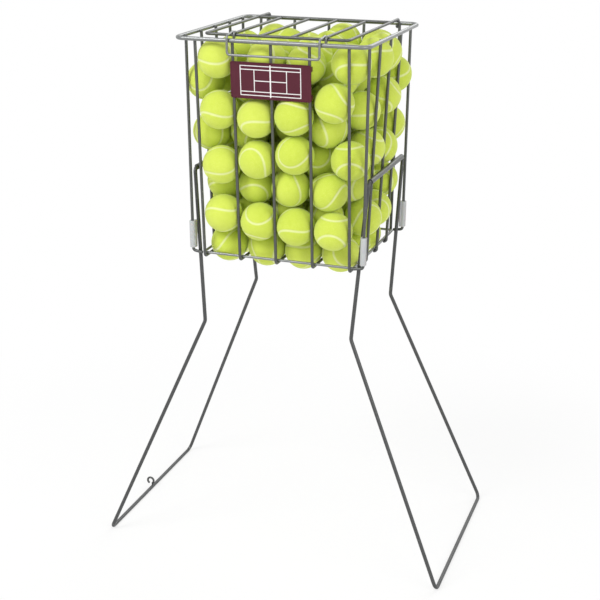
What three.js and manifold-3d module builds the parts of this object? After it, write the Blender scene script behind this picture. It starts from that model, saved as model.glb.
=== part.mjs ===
// A wire tennis ball hopper, standing on its two flip-over legs and full of balls.
// Millimetres, +Z up. X runs along the front of the basket and Y towards its back.
// The origin is on the ground, under the middle of the whole outline.

import * as THREE from "three";
import { mergeVertices } from "three/addons/utils/BufferGeometryUtils.js";
import Module from "manifold-3d";

const wasm = await Module();
wasm.setup();

// Wire diameters
const RIM_WIRE = 7;
const BASKET_WIRE = 5.2;
const RAIL_WIRE = 4.4;
const LEG_WIRE = 6.6;
const LID_WIRE = 5;
const BAIL_WIRE = 4;
const GRIP_HOOK_WIRE = 4;

// Clearances: the paint film left between touching pieces, and the room of pieces that turn
const SEAT_GAP = 0.3;
const TURN_GAP = 0.5;
const OVERRUN = 4;

// Basket: a rim, five wires that run down the front, under the balls and up the back,
// five wires on each side, and a rail round the floor
const RIM_HEIGHT = 929;
const RIM_HALF_WIDTH = 165;
const RIM_HALF_DEPTH = 156;
const RIM_CORNER = 16;
const WIRE_TOP_RISE = 1;
const FLOOR_HEIGHT = 550;
const FLOOR_HALF_DEPTH = 128;
const FLOOR_BEND = 7;
const BASKET_PITCH = 66;
const BASKET_WIRES = 5;
const RAIL_CORNER = 6;
const RAIL_HOOK_TURN = THREE.MathUtils.degToRad(100);
const SIDE_PITCH = 62.8;
const SIDE_WIRES = 5;
const CORNER_WIRE_REACH = 155;
const CORNER_WIRE_BEND_RISE = 8;
const CORNER_WIRE_BEND = 5;

// Legs: each is one wire, hinged in a tube across the basket's side.
// The pivots and the knees are measured from the basket's floor.
const PIVOT_RISE = 151;
const PIVOT_HALF_LENGTH = 99;
const PIVOT_WALL = 1;
const PIVOT_INSERT = 34;
const LEG_TOP_BEND = 8;
const KNEE_DROP = 122;
const KNEE_HALF_WIDTH = 136;
const KNEE_HALF_DEPTH = 125;
const KNEE_BEND = 16;
const FOOT_HALF_WIDTH = 316;
const FOOT_HALF_DEPTH = 180;
const FOOT_BEND = 11;
const GRIP_HOOK_RADIUS = 6.4;
const GRIP_HOOK_TURNS = 0.86;
const GRIP_HOOK_LEAN = THREE.MathUtils.degToRad(26);

// Corner clips: plastic sleeves, snapped on the corner wires above the floor. Each has a
// narrow rib behind it, against which a leg springs outwards.
const CLIP_RISE = 14;
const CLIP_LENGTH = 48;
const CLIP_WALL = 2.6;
const CLIP_SLOT = 3.6;
const CLIP_RIB = 3;
const ARM_CLEARANCE = 1.5;

// Lid and its wire latch. The lid sits a little off the middle, where it slid on its rail.
const LID_OFFSET = 3.4;
const LID_HALF_WIDTH = 123;
const LID_FRONT_SETBACK = 20;
const LID_REAR_BAR_SETBACK = 50;
const LID_CORNER = 9;
const LID_BARS = 4;
const LID_BAR_PITCH = 52.5;
const LID_HINGE_TURN = THREE.MathUtils.degToRad(235);
const BAIL_DROP = 22;
const BAIL_BEND = 5;
const BAIL_COIL_TURNS = 1.3;
const BAIL_COIL_PITCH = 4.4;

// Name plate, hung below the rim
const PLATE_WIDTH = 139;
const PLATE_HEIGHT = 60;
const PLATE_THICKNESS = 1.6;
const PLATE_CORNER = 3;
const PLATE_DROP = 33;
const PLATE_GRIP_HEIGHT = 8;
const PLATE_GRIP_WALL = 2;
const PLATE_GRIP_SLOT = 4.2;
const PLATE_ROWS = 6;

// Balls
const BALL_DIAMETER = 66;
const BALL_FILL_SHARE = 0.593;
const BALL_GROUPS = 7;
const DEEP_SHARE = 0.75;
const BALL_RIM_GAP = 1;
const BALL_CONTACT = 7;
const BALL_REACH = 1.4;
const BALL_GAP = 0.3;
const BALLS_PER_ROW = 4;
const BALL_SEED = 70001;
const LAYER_STAGGER_SHARE = 0.12;
const JITTER_SHARE = 0.25;
const SETTLE_ROUNDS = 3000;
const SETTLE_SINK = 0.12;
const SPREAD_SHARE = 0.6;
const SINKING_SHARE = 0.6;

// Facet counts
const WIRE_SIDES = 6;
const LEG_SIDES = 8;
const RIM_SIDES = 8;
const TUBE_SIDES = 16;
const BEND_STEPS = 3;
const HOOK_STEPS = 5;
const COIL_STEPS = 9;
const CLIP_STEPS = 12;
const NECK_SIDES = 3;

// Finishes
const gunmetal = { color: 0x5f6364, roughness: 0.38, metalness: 0.75 };
const brightMetal = { color: 0x8f9394, roughness: 0.34, metalness: 0.8 };
const clipPlastic = { color: 0xc9cac8, roughness: 0.55, metalness: 0 };
const platePlastic = { color: 0x5e283a, roughness: 0.5, metalness: 0 };
const ballFelt = { color: 0xc8e13c, roughness: 0.95, metalness: 0 };

// Derived heights
const pivotHeight = FLOOR_HEIGHT + PIVOT_RISE;
const kneeHeight = FLOOR_HEIGHT - KNEE_DROP;
const cornerWireBendHeight = FLOOR_HEIGHT + CORNER_WIRE_BEND_RISE;
const clipBottom = FLOOR_HEIGHT + CLIP_RISE;
const plateTop = RIM_HEIGHT - PLATE_DROP;
const plateBottom = plateTop - PLATE_HEIGHT;
const ballCeiling = RIM_HEIGHT - BALL_RIM_GAP;

// Derived sizes of the basket
const rimR = RIM_WIRE / 2;
const basketR = BASKET_WIRE / 2;
const railR = RAIL_WIRE / 2;
const legR = LEG_WIRE / 2;
const lidR = LID_WIRE / 2;
const bailR = BAIL_WIRE / 2;
const gripHookR = GRIP_HOOK_WIRE / 2;
const rimToWire = rimR + basketR + SEAT_GAP;
const wireTopHeight = RIM_HEIGHT + WIRE_TOP_RISE;
const floorHalfWidth = BASKET_PITCH * (BASKET_WIRES - 1) / 2;
const railHalfWidth = floorHalfWidth + basketR + railR + SEAT_GAP;
const railNest = FLOOR_BEND - (FLOOR_BEND - basketR - railR - SEAT_GAP) / Math.SQRT2;
const railHalfDepth = FLOOR_HALF_DEPTH - railNest;
const railHeight = FLOOR_HEIGHT + railNest;
const railHookR = railR + basketR + SEAT_GAP;
const wallTopX = RIM_HALF_WIDTH - rimToWire;
const wallFootX = railHalfWidth + railHookR;
const cornerWireY = SIDE_PITCH * (SIDE_WIRES - 1) / 2;
const wallTopY = RIM_HALF_DEPTH - rimToWire;
const frontSlope = (wallTopY - FLOOR_HALF_DEPTH) / (RIM_HEIGHT - FLOOR_HEIGHT);
const wallSlope = (wallTopX - wallFootX) / (RIM_HEIGHT - railHeight);

// Derived sizes of the pivots and legs
const tubeBoreR = (legR + TURN_GAP) / Math.cos(Math.PI / TUBE_SIDES);
const tubeR = tubeBoreR + PIVOT_WALL;
const pivotX = wallAt(pivotHeight) + (basketR + tubeR) * Math.hypot(1, wallSlope) + SEAT_GAP;
const armTopY = PIVOT_HALF_LENGTH + LEG_TOP_BEND + SEAT_GAP;
const footZ = legR * Math.cos(Math.PI / LEG_SIDES);
const armLean = (pivotX - KNEE_HALF_WIDTH) / (pivotHeight - kneeHeight);
const armSplay = (KNEE_HALF_DEPTH - armTopY) / (pivotHeight - kneeHeight);
const gripHookReach = legR + SEAT_GAP + gripHookR + GRIP_HOOK_RADIUS;

// Half the outside width of a plate grip, to its corners
const plateGripR = (basketR + SEAT_GAP + PLATE_GRIP_WALL) * Math.SQRT2;

// The room kept free of balls round a folded-down leg's arm
const armRoomR = (legR + TURN_GAP + ARM_CLEARANCE) * Math.SQRT2;

// Derived sizes of the lid
const lidHookR = rimR + lidR + TURN_GAP;
const lidHeight = RIM_HEIGHT + lidHookR;
const lidFrontY = LID_FRONT_SETBACK - RIM_HALF_DEPTH;
const lidRearBarY = RIM_HALF_DEPTH - LID_REAR_BAR_SETBACK;
const lidFlatR = lidR * Math.cos(Math.PI / WIRE_SIDES);
const bailCoilR = lidR + bailR + TURN_GAP;
const bailLeftX = bailCoilR - LID_BAR_PITCH * (LID_BARS - 1) / 2;
const bailRightX = bailCoilR + LID_BAR_PITCH * (LID_BARS - 1) / 2;

// How far out the side wires and the front wires stand at a height
function wallAt(height) {
  return wallFootX + wallSlope * (height - railHeight);
}

function frontAt(height) {
  return FLOOR_HALF_DEPTH + frontSlope * (height - FLOOR_HEIGHT);
}

const point = (x, y, z) => new THREE.Vector3(x, y, z);
const AXIS_X = point(1, 0, 0);
const AXIS_Y = point(0, 1, 0);
const AXIS_Z = point(0, 0, 1);

// A path through hand-placed stations. Its section is carried from station to station
// without twist, starting at the station startIndex, where its first side faces startNormal.
class BentWire extends THREE.Curve {
  constructor(stations, startNormal, startIndex = 0) {
    super();
    this.stations = stations;
    this.startNormal = startNormal;
    this.startIndex = startIndex;
  }

  getPoint(t, target = new THREE.Vector3()) {
    const place = t * (this.stations.length - 1);
    const index = Math.min(Math.floor(place), this.stations.length - 2);
    return target.lerpVectors(this.stations[index], this.stations[index + 1], place - index);
  }

  getPointAt(u, target) {
    return this.getPoint(u, target);
  }

  directionAt(index) {
    const last = this.stations.length - 1;
    const closed = this.stations[0].distanceTo(this.stations[last]) < SEAT_GAP / 2;
    const before = index > 0 ? index - 1 : closed ? last - 1 : 0;
    const after = index < last ? index + 1 : closed ? 1 : last;
    const here = this.stations[index];
    const arriving = here.clone().sub(this.stations[before]).normalize();
    const leaving = this.stations[after].clone().sub(here).normalize();
    return arriving.add(leaving).normalize();
  }

  computeFrenetFrames(segments) {
    const tangents = this.stations.map((_, index) => this.directionAt(index));
    const normals = [];
    const first = tangents[this.startIndex];
    normals[this.startIndex] = this.startNormal.clone().projectOnPlane(first).normalize();
    const carry = (from, to) => {
      const turn = new THREE.Quaternion().setFromUnitVectors(tangents[from], tangents[to]);
      normals[to] = normals[from].clone().applyQuaternion(turn);
    };
    for (let index = this.startIndex; index < segments; index += 1) carry(index, index + 1);
    for (let index = this.startIndex; index > 0; index -= 1) carry(index, index - 1);
    const binormals = tangents.map((tangent, index) => tangent.clone().cross(normals[index]));
    return { tangents, normals, binormals };
  }
}

// The stations of an arc: centre plus one arm turning towards the other
function arc(centre, firstArm, secondArm, startAngle, endAngle, steps) {
  const stations = [];
  for (let step = 0; step <= steps; step += 1) {
    const angle = startAngle + (endAngle - startAngle) * step / steps;
    stations.push(centre.clone()
      .addScaledVector(firstArm, Math.cos(angle))
      .addScaledVector(secondArm, Math.sin(angle)));
  }
  return stations;
}

// Rounds one corner of a bent wire to a radius
function roundedCorner(before, corner, after, radius, steps) {
  const arriving = corner.clone().sub(before).normalize();
  const leaving = after.clone().sub(corner).normalize();
  const turn = arriving.angleTo(leaving);
  const inward = leaving.clone().addScaledVector(arriving, -Math.cos(turn)).normalize();
  const start = corner.clone().addScaledVector(arriving, -radius * Math.tan(turn / 2));
  const centre = start.clone().addScaledVector(inward, radius);
  return arc(centre, inward.multiplyScalar(-radius), arriving.multiplyScalar(radius), 0, turn, steps);
}

// Rounds every inner corner of a row of corners
function bend(corners, radii, steps = BEND_STEPS) {
  const stations = [corners[0]];
  for (let index = 1; index < corners.length - 1; index += 1) {
    const radius = Array.isArray(radii) ? radii[index - 1] : radii;
    stations.push(...roundedCorner(
      corners[index - 1], corners[index], corners[index + 1], radius, steps));
  }
  stations.push(corners[corners.length - 1]);
  return stations;
}

// A round section with a flat side towards the start normal
function section(radius, sides) {
  const shape = new THREE.Shape();
  for (let side = 0; side < sides; side += 1) {
    const angle = 2 * Math.PI * (side + 1 / 2) / sides;
    const place = [radius * Math.cos(angle), radius * Math.sin(angle)];
    if (side === 0) shape.moveTo(...place);
    else shape.lineTo(...place);
  }
  shape.closePath();
  return shape;
}

function wireGeometry(stations, radius, startNormal, sides = WIRE_SIDES, startIndex = 0) {
  return new THREE.ExtrudeGeometry(section(radius, sides), {
    steps: stations.length - 1,
    extrudePath: new BentWire(stations, startNormal, startIndex),
  });
}

// A wire welded into a ring: the sweep without its two end faces, which meet and close
function ringGeometry(stations, radius, startNormal, sides = WIRE_SIDES) {
  const swept = wireGeometry([...stations, stations[0].clone()], radius, startNormal, sides);
  const walls = swept.groups.find((group) => group.materialIndex === 1);
  const places = swept.getAttribute("position").array;
  const ring = new THREE.BufferGeometry();
  const wallPlaces = places.slice(walls.start * 3, (walls.start + walls.count) * 3);
  ring.setAttribute("position", new THREE.BufferAttribute(wallPlaces, 3));
  return ring;
}

// The corners of a level rectangle, rounded, as the stations of a closed ring
function rectangleStations(halfWidth, halfDepth, height, radius) {
  const corners = [];
  for (const [x, y] of [[1, -1], [1, 1], [-1, 1], [-1, -1]]) {
    corners.push(point(x * halfWidth, y * halfDepth, height));
  }
  return corners.flatMap((corner, index) => roundedCorner(
    corners[(index + 3) % 4], corner, corners[(index + 1) % 4], radius, BEND_STEPS));
}

// Booleans
function toSolid(geometry) {
  const bare = geometry.clone();
  bare.deleteAttribute("normal");
  bare.deleteAttribute("uv");
  const merged = mergeVertices(bare);
  return new wasm.Manifold(new wasm.Mesh({
    numProp: 3,
    vertProperties: new Float32Array(merged.getAttribute("position").array),
    triVerts: new Uint32Array(merged.index.array),
  }));
}

function toGeometry(solid) {
  const mesh = solid.getMesh();
  const geometry = new THREE.BufferGeometry();
  geometry.setAttribute("position", new THREE.BufferAttribute(mesh.vertProperties, mesh.numProp));
  geometry.setIndex(new THREE.BufferAttribute(mesh.triVerts, 1));
  const loose = geometry.toNonIndexed();
  loose.computeVertexNormals();
  return loose;
}

function addPiece(parent, name, geometry, finish) {
  const mesh = new THREE.Mesh(geometry, new THREE.MeshStandardMaterial(finish));
  mesh.name = name;
  parent.add(mesh);
  return mesh;
}

// Basket

// The upper ends of all wires are welded to the inside of the rim
function basketWire(x) {
  const corners = [
    point(x, -frontAt(wireTopHeight), wireTopHeight),
    point(x, -FLOOR_HALF_DEPTH, FLOOR_HEIGHT),
    point(x, FLOOR_HALF_DEPTH, FLOOR_HEIGHT),
    point(x, frontAt(wireTopHeight), wireTopHeight),
  ];
  return wireGeometry(bend(corners, FLOOR_BEND), basketR, AXIS_X);
}

// The foot of a side wire turns in under the floor rail
function sideWire(side, y) {
  const top = point(side * wallAt(wireTopHeight), y, wireTopHeight);
  const foot = arc(
    point(side * railHalfWidth, y, railHeight), point(side * railHookR, 0, 0),
    point(0, 0, -railHookR), 0, RAIL_HOOK_TURN, HOOK_STEPS);
  return wireGeometry([top, ...foot], basketR, AXIS_Y);
}

// The outermost side wires stand further out at the floor, to carry the corner clips,
// and their feet turn in to the corners of the rail
function cornerWire(side, y) {
  const reach = RAIL_CORNER + railHookR;
  const footX = railHalfWidth - RAIL_CORNER
    + Math.sqrt(reach ** 2 - (cornerWireY - railHalfDepth + RAIL_CORNER) ** 2);
  const corners = [
    point(side * wallTopX, y, wireTopHeight),
    point(side * CORNER_WIRE_REACH, y, cornerWireBendHeight),
    point(side * footX, y, railHeight),
  ];
  return wireGeometry(bend(corners, CORNER_WIRE_BEND), basketR, AXIS_Y);
}

function addBasket(parent) {
  const rim = rectangleStations(RIM_HALF_WIDTH, RIM_HALF_DEPTH, RIM_HEIGHT, RIM_CORNER);
  addPiece(parent, "top_rim", ringGeometry(rim, rimR, AXIS_Z, RIM_SIDES), brightMetal);
  const rail = rectangleStations(railHalfWidth, railHalfDepth, railHeight, RAIL_CORNER);
  addPiece(parent, "floor_rail", ringGeometry(rail, railR, AXIS_Z), brightMetal);
  for (let index = 0; index < BASKET_WIRES; index += 1) {
    const x = BASKET_PITCH * (index - (BASKET_WIRES - 1) / 2);
    addPiece(parent, `basket_wire_${index + 1}`, basketWire(x), gunmetal);
  }
  for (const [side, sideName] of [[-1, "left"], [1, "right"]]) {
    for (let index = 0; index < SIDE_WIRES; index += 1) {
      const y = SIDE_PITCH * (index - (SIDE_WIRES - 1) / 2);
      const atCorner = index === 0 || index === SIDE_WIRES - 1;
      const geometry = atCorner ? cornerWire(side, y) : sideWire(side, y);
      addPiece(parent, `${sideName}_side_wire_${index + 1}`, geometry, gunmetal);
    }
  }
}

// Legs

function pivotTube(side) {
  const profile = [
    new THREE.Vector2(tubeBoreR, -PIVOT_HALF_LENGTH),
    new THREE.Vector2(tubeR, -PIVOT_HALF_LENGTH),
    new THREE.Vector2(tubeR, PIVOT_HALF_LENGTH),
    new THREE.Vector2(tubeBoreR, PIVOT_HALF_LENGTH),
    new THREE.Vector2(tubeBoreR, -PIVOT_HALF_LENGTH),
  ];
  const geometry = new THREE.LatheGeometry(profile, TUBE_SIDES);
  geometry.translate(side * pivotX, 0, 0);
  return geometry;
}

function legStations(side) {
  const corners = [
    point(side * pivotX, -(PIVOT_HALF_LENGTH - PIVOT_INSERT), pivotHeight),
    point(side * pivotX, -armTopY, pivotHeight),
    point(side * KNEE_HALF_WIDTH, -KNEE_HALF_DEPTH, kneeHeight),
    point(side * FOOT_HALF_WIDTH, -FOOT_HALF_DEPTH, footZ),
  ];
  const mirrored = corners.map((corner) => point(corner.x, -corner.y, corner.z)).reverse();
  const radii = [LEG_TOP_BEND, KNEE_BEND, FOOT_BEND, FOOT_BEND, KNEE_BEND, LEG_TOP_BEND];
  return bend([...corners, ...mirrored], radii);
}

function legGeometry(side) {
  const stations = legStations(side);
  const groundStation = stations.length / 2;
  return wireGeometry(stations, legR, AXIS_Z, LEG_SIDES, groundStation);
}

// The small open ring of wire on the middle of the left grip, leaning outwards
function gripHook() {
  const towardsBar = point(Math.sin(GRIP_HOOK_LEAN), 0, -Math.cos(GRIP_HOOK_LEAN));
  const inwards = point(Math.cos(GRIP_HOOK_LEAN), 0, Math.sin(GRIP_HOOK_LEAN));
  const centre = point(-FOOT_HALF_WIDTH, 0, footZ).addScaledVector(towardsBar, -gripHookReach);
  const ring = arc(
    centre, towardsBar.multiplyScalar(GRIP_HOOK_RADIUS), inwards.multiplyScalar(GRIP_HOOK_RADIUS),
    0, 2 * Math.PI * GRIP_HOOK_TURNS, COIL_STEPS);
  return wireGeometry(ring, gripHookR, AXIS_Y);
}

// How much further out the left leg reaches than the right one, by its hook
function hookOverhang() {
  return gripHookReach * Math.sin(GRIP_HOOK_LEAN) + GRIP_HOOK_RADIUS + gripHookR - legR;
}

function addLegs(parent) {
  for (const [side, sideName] of [[-1, "left"], [1, "right"]]) {
    const tube = addPiece(parent, `${sideName}_pivot_tube`, pivotTube(side), gunmetal);
    tube.position.z = pivotHeight;
    addPiece(parent, `${sideName}_leg`, legGeometry(side), gunmetal);
  }
  addPiece(parent, "grip_hook", gripHook(), brightMetal);
}

// Corner clips

// An outline in the XY plane, drawn out upwards and leaned to follow a slanted wire
function leanedBlock(shape, bottom, length, leanX, leanY) {
  const geometry = new THREE.ExtrudeGeometry(shape, {
    depth: length, bevelEnabled: false, curveSegments: CLIP_STEPS,
  });
  const lean = new THREE.Matrix4().makeShear(0, 0, 0, 0, leanX, leanY);
  geometry.applyMatrix4(lean);
  geometry.translate(leanX * (bottom - pivotHeight), leanY * (bottom - pivotHeight), bottom);
  return toSolid(geometry);
}

function rectangle(left, right, front, back) {
  const shape = new THREE.Shape();
  shape.moveTo(left, front);
  shape.lineTo(right, front);
  shape.lineTo(right, back);
  shape.lineTo(left, back);
  shape.closePath();
  return shape;
}

function disc(x, y, radius) {
  const shape = new THREE.Shape();
  shape.absarc(x, y, radius, 0, 2 * Math.PI);
  return shape;
}

// The right front clip. The others are its mirror images.
function clipSolid() {
  const cornerLean = (wallTopX - CORNER_WIRE_REACH) / (RIM_HEIGHT - cornerWireBendHeight);
  const cornerX = CORNER_WIRE_REACH + cornerLean * (pivotHeight - cornerWireBendHeight);
  const sleeveR = basketR + SEAT_GAP + CLIP_WALL;
  const legRoom = legR + TURN_GAP;
  const low = clipBottom - OVERRUN;
  const tall = CLIP_LENGTH + 2 * OVERRUN;
  const onCorner = (shape, bottom, length) => leanedBlock(shape, bottom, length, cornerLean, 0);
  const onArm = (shape, bottom, length) => leanedBlock(shape, bottom, length, armLean, armSplay);
  const sleeve = onCorner(disc(cornerX, -cornerWireY, sleeveR), clipBottom, CLIP_LENGTH);
  const wireBore = onCorner(disc(cornerX, -cornerWireY, basketR + SEAT_GAP), low, tall);
  const wireSlot = onCorner(
    rectangle(cornerX, cornerX + sleeveR + OVERRUN, -cornerWireY - CLIP_SLOT / 2,
      -cornerWireY + CLIP_SLOT / 2), low, tall);
  const rib = onCorner(
    rectangle(cornerX - sleeveR, cornerX - sleeveR + CLIP_RIB, -cornerWireY, -armTopY),
    clipBottom, CLIP_LENGTH);
  const legPath = onArm(
    rectangle(pivotX - CLIP_LENGTH, pivotX + CLIP_LENGTH, -armTopY - legRoom, 0), low, tall);
  return sleeve.add(rib).subtract(wireBore).subtract(wireSlot).subtract(legPath);
}

function addClips(parent) {
  const clip = toGeometry(clipSolid());
  for (const [x, y, name] of [
    [1, 1, "right_front_clip"], [1, -1, "right_rear_clip"],
    [-1, 1, "left_front_clip"], [-1, -1, "left_rear_clip"],
  ]) {
    const geometry = clip.clone();
    geometry.applyMatrix4(new THREE.Matrix4().makeScale(x, y, 1));
    if (x * y < 0) flipFaces(geometry);
    addPiece(parent, name, geometry, clipPlastic);
  }
}

// A mirrored shape is inside out, so each of its triangles is turned over
function flipFaces(geometry) {
  const places = geometry.getAttribute("position");
  const corner = new THREE.Vector3();
  const other = new THREE.Vector3();
  for (let index = 0; index < places.count; index += 3) {
    corner.fromBufferAttribute(places, index + 1);
    other.fromBufferAttribute(places, index + 2);
    places.setXYZ(index + 1, ...other);
    places.setXYZ(index + 2, ...corner);
  }
  geometry.computeVertexNormals();
}

// Lid

// The lid's frame: one wire, hooked round the rear rail at both ends
function lidFrame() {
  const corners = [
    point(-LID_HALF_WIDTH, RIM_HALF_DEPTH, lidHeight),
    point(-LID_HALF_WIDTH, lidFrontY, lidHeight),
    point(LID_HALF_WIDTH, lidFrontY, lidHeight),
    point(LID_HALF_WIDTH, RIM_HALF_DEPTH, lidHeight),
  ];
  const hook = (side) => arc(
    point(side * LID_HALF_WIDTH, RIM_HALF_DEPTH, RIM_HEIGHT), point(0, 0, lidHookR),
    point(0, lidHookR, 0), 0, LID_HINGE_TURN, 2 * HOOK_STEPS);
  const middle = bend(corners, LID_CORNER);
  return wireGeometry([...hook(-1).reverse(), ...middle.slice(1, -1), ...hook(1)], lidR, AXIS_X);
}

function lidRearBar() {
  const end = LID_HALF_WIDTH - lidFlatR - SEAT_GAP;
  const stations = [point(-end, lidRearBarY, lidHeight), point(end, lidRearBarY, lidHeight)];
  return wireGeometry(stations, lidR, AXIS_Y);
}

// A lid bar is welded to the frame's front wire and to the rear bar
function lidBar(x) {
  const stations = [
    point(x, lidFrontY + lidFlatR + SEAT_GAP, lidHeight),
    point(x, lidRearBarY - lidFlatR - SEAT_GAP, lidHeight),
  ];
  return wireGeometry(stations, lidR, AXIS_X);
}

// The latch: its ends coil round the lid's front wire, each on the right of an outer bar, and
// it drops over the front of the rim
function lidBail() {
  const coilAngle = 2 * Math.PI * BAIL_COIL_TURNS;
  const steps = Math.round(COIL_STEPS * BAIL_COIL_TURNS);
  const coil = (x) => {
    const stations = [];
    for (let step = 0; step <= steps; step += 1) {
      const share = step / steps;
      const angle = coilAngle * (1 - share);
      stations.push(point(
        x + BAIL_COIL_PITCH * BAIL_COIL_TURNS * (1 - share),
        lidFrontY + bailCoilR * Math.sin(angle),
        lidHeight + bailCoilR * Math.cos(angle)));
    }
    return stations;
  };
  const overRim = RIM_HEIGHT + rimR + bailR + SEAT_GAP + BAIL_BEND / 2;
  const front = -RIM_HALF_DEPTH - rimR - bailR - TURN_GAP;
  const low = RIM_HEIGHT - BAIL_DROP;
  const left = coil(bailLeftX);
  const right = coil(bailRightX).reverse();
  const corners = [
    left[left.length - 1],
    point(bailLeftX, front, overRim),
    point(bailLeftX, front, low),
    point(bailRightX, front, low),
    point(bailRightX, front, overRim),
    right[0],
  ];
  const middle = bend(corners, BAIL_BEND);
  return wireGeometry([...left, ...middle.slice(1, -1), ...right], bailR, AXIS_X);
}

function addLid(parent) {
  const lid = new THREE.Group();
  lid.position.x = LID_OFFSET;
  parent.add(lid);
  addPiece(lid, "lid_frame", lidFrame(), gunmetal);
  addPiece(lid, "lid_rear_bar", lidRearBar(), gunmetal);
  for (let index = 0; index < LID_BARS; index += 1) {
    const x = LID_BAR_PITCH * (index - (LID_BARS - 1) / 2);
    addPiece(lid, `lid_bar_${index + 1}`, lidBar(x), gunmetal);
  }
  addPiece(lid, "lid_bail", lidBail(), brightMetal);
}

// Name plate

function roundedPlate(halfWidth, halfHeight, radius, thickness) {
  const shape = new THREE.Shape();
  const inner = [halfWidth - radius, halfHeight - radius];
  for (const [index, [x, y]] of [[1, 1], [-1, 1], [-1, -1], [1, -1]].entries()) {
    const start = Math.PI / 2 * index;
    shape.absarc(x * inner[0], y * inner[1], radius, start, start + Math.PI / 2);
  }
  shape.closePath();
  return new THREE.ExtrudeGeometry(shape, {
    depth: thickness, bevelEnabled: false, curveSegments: BEND_STEPS,
  });
}

// The plate leans with the front wires, and four moulded grips on its back hold two of them
function namePlate() {
  const seat = basketR + SEAT_GAP;
  const gripDepth = seat + basketR + PLATE_GRIP_WALL;
  const gripHalf = seat + PLATE_GRIP_WALL;
  let plate = toSolid(roundedPlate(PLATE_WIDTH / 2, PLATE_HEIGHT / 2, PLATE_CORNER, PLATE_THICKNESS)
    .translate(0, 0, seat));
  const gripRise = PLATE_HEIGHT / 2 - PLATE_CORNER - PLATE_GRIP_HEIGHT / 2;
  for (const x of [-BASKET_PITCH, BASKET_PITCH]) {
    const halfWidth = Math.min(gripHalf, PLATE_WIDTH / 2 - Math.abs(x));
    for (const rise of [-gripRise, gripRise]) {
      const block = new THREE.BoxGeometry(gripHalf + halfWidth, PLATE_GRIP_HEIGHT, gripDepth);
      block.translate(
        x - Math.sign(x) * (gripHalf - halfWidth) / 2, rise, seat + SEAT_GAP - gripDepth / 2);
      plate = plate.add(toSolid(block));
    }
    const bore = new THREE.CylinderGeometry(seat, seat, PLATE_HEIGHT + OVERRUN, TUBE_SIDES);
    const slot = new THREE.BoxGeometry(PLATE_GRIP_SLOT, PLATE_HEIGHT + OVERRUN, gripDepth);
    plate = plate
      .subtract(toSolid(bore.translate(x, 0, 0)))
      .subtract(toSolid(slot.translate(x, 0, -gripDepth / 2)));
  }
  const geometry = toGeometry(plate);
  const middleHeight = plateBottom + PLATE_HEIGHT / 2;
  geometry.rotateX(Math.PI / 2 + Math.atan(frontSlope));
  geometry.translate(0, -frontAt(middleHeight), middleHeight);
  return geometry;
}

// Balls

// A repeatable shuffle, so that the pile is the same each time
function shuffler(seed) {
  const modulus = 2147483647;
  const factor = 48271;
  let state = seed;
  return () => {
    state = state * factor % modulus;
    return state / modulus - 1 / 2;
  };
}

// What holds the balls, each as a line with the distance that a ball's centre keeps: the
// wires, the pivot tubes, the leg arms folded down and up, and the name plate
function basketLines() {
  const clear = BALL_DIAMETER / 2 + BALL_GAP;
  const lines = [];
  const line = (from, to, wireRadius) => lines.push({ from, to, keep: clear + wireRadius });
  for (let index = 0; index < BASKET_WIRES; index += 1) {
    const x = BASKET_PITCH * (index - (BASKET_WIRES - 1) / 2);
    for (const y of [-1, 1]) {
      line(point(x, y * FLOOR_HALF_DEPTH, FLOOR_HEIGHT), point(x, y * wallTopY, RIM_HEIGHT), basketR);
    }
    line(point(x, -FLOOR_HALF_DEPTH, FLOOR_HEIGHT), point(x, FLOOR_HALF_DEPTH, FLOOR_HEIGHT), basketR);
  }
  for (const side of [-1, 1]) {
    for (let index = 0; index < SIDE_WIRES; index += 1) {
      const y = SIDE_PITCH * (index - (SIDE_WIRES - 1) / 2);
      const atCorner = index === 0 || index === SIDE_WIRES - 1;
      const foot = atCorner
        ? point(side * CORNER_WIRE_REACH, y, cornerWireBendHeight)
        : point(side * wallFootX, y, railHeight);
      line(foot, point(side * wallTopX, y, RIM_HEIGHT), basketR);
    }
    line(point(side * railHalfWidth, -railHalfDepth, railHeight),
      point(side * railHalfWidth, railHalfDepth, railHeight), railR);
    line(point(-railHalfWidth, side * railHalfDepth, railHeight),
      point(railHalfWidth, side * railHalfDepth, railHeight), railR);
    line(point(side * pivotX, -PIVOT_HALF_LENGTH, pivotHeight),
      point(side * pivotX, PIVOT_HALF_LENGTH, pivotHeight), tubeR);
    for (const y of [-1, 1]) {
      const armTop = point(side * pivotX, y * armTopY, pivotHeight);
      line(armTop, point(side * KNEE_HALF_WIDTH, y * KNEE_HALF_DEPTH, kneeHeight), armRoomR);
      line(armTop, point(side * (2 * pivotX - KNEE_HALF_WIDTH), y * KNEE_HALF_DEPTH,
        2 * pivotHeight - kneeHeight), legR + TURN_GAP);
    }
    line(point(side * BASKET_PITCH, -frontAt(plateBottom), plateBottom),
      point(side * BASKET_PITCH, -frontAt(plateTop), plateTop), plateGripR);
  }
  for (let row = 0; row <= PLATE_ROWS; row += 1) {
    const height = plateBottom + PLATE_HEIGHT * row / PLATE_ROWS;
    const plateBack = -frontAt(height) - basketR - SEAT_GAP;
    line(point(-PLATE_WIDTH / 2, plateBack, height), point(PLATE_WIDTH / 2, plateBack, height), SEAT_GAP);
  }
  return lines;
}

// The point of a line that lies nearest to a ball
function nearestOnLine(ball, line) {
  const run = line.to.clone().sub(line.from);
  const along = ball.clone().sub(line.from).dot(run) / run.lengthSq();
  return line.from.clone().addScaledVector(run, THREE.MathUtils.clamp(along, 0, 1));
}

// Pushes one ball clear of a line
function pushFromLine(ball, line) {
  const away = ball.clone().sub(nearestOnLine(ball, line));
  const distance = away.length();
  if (distance < line.keep) ball.addScaledVector(away, (line.keep - distance) / distance);
}

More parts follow.
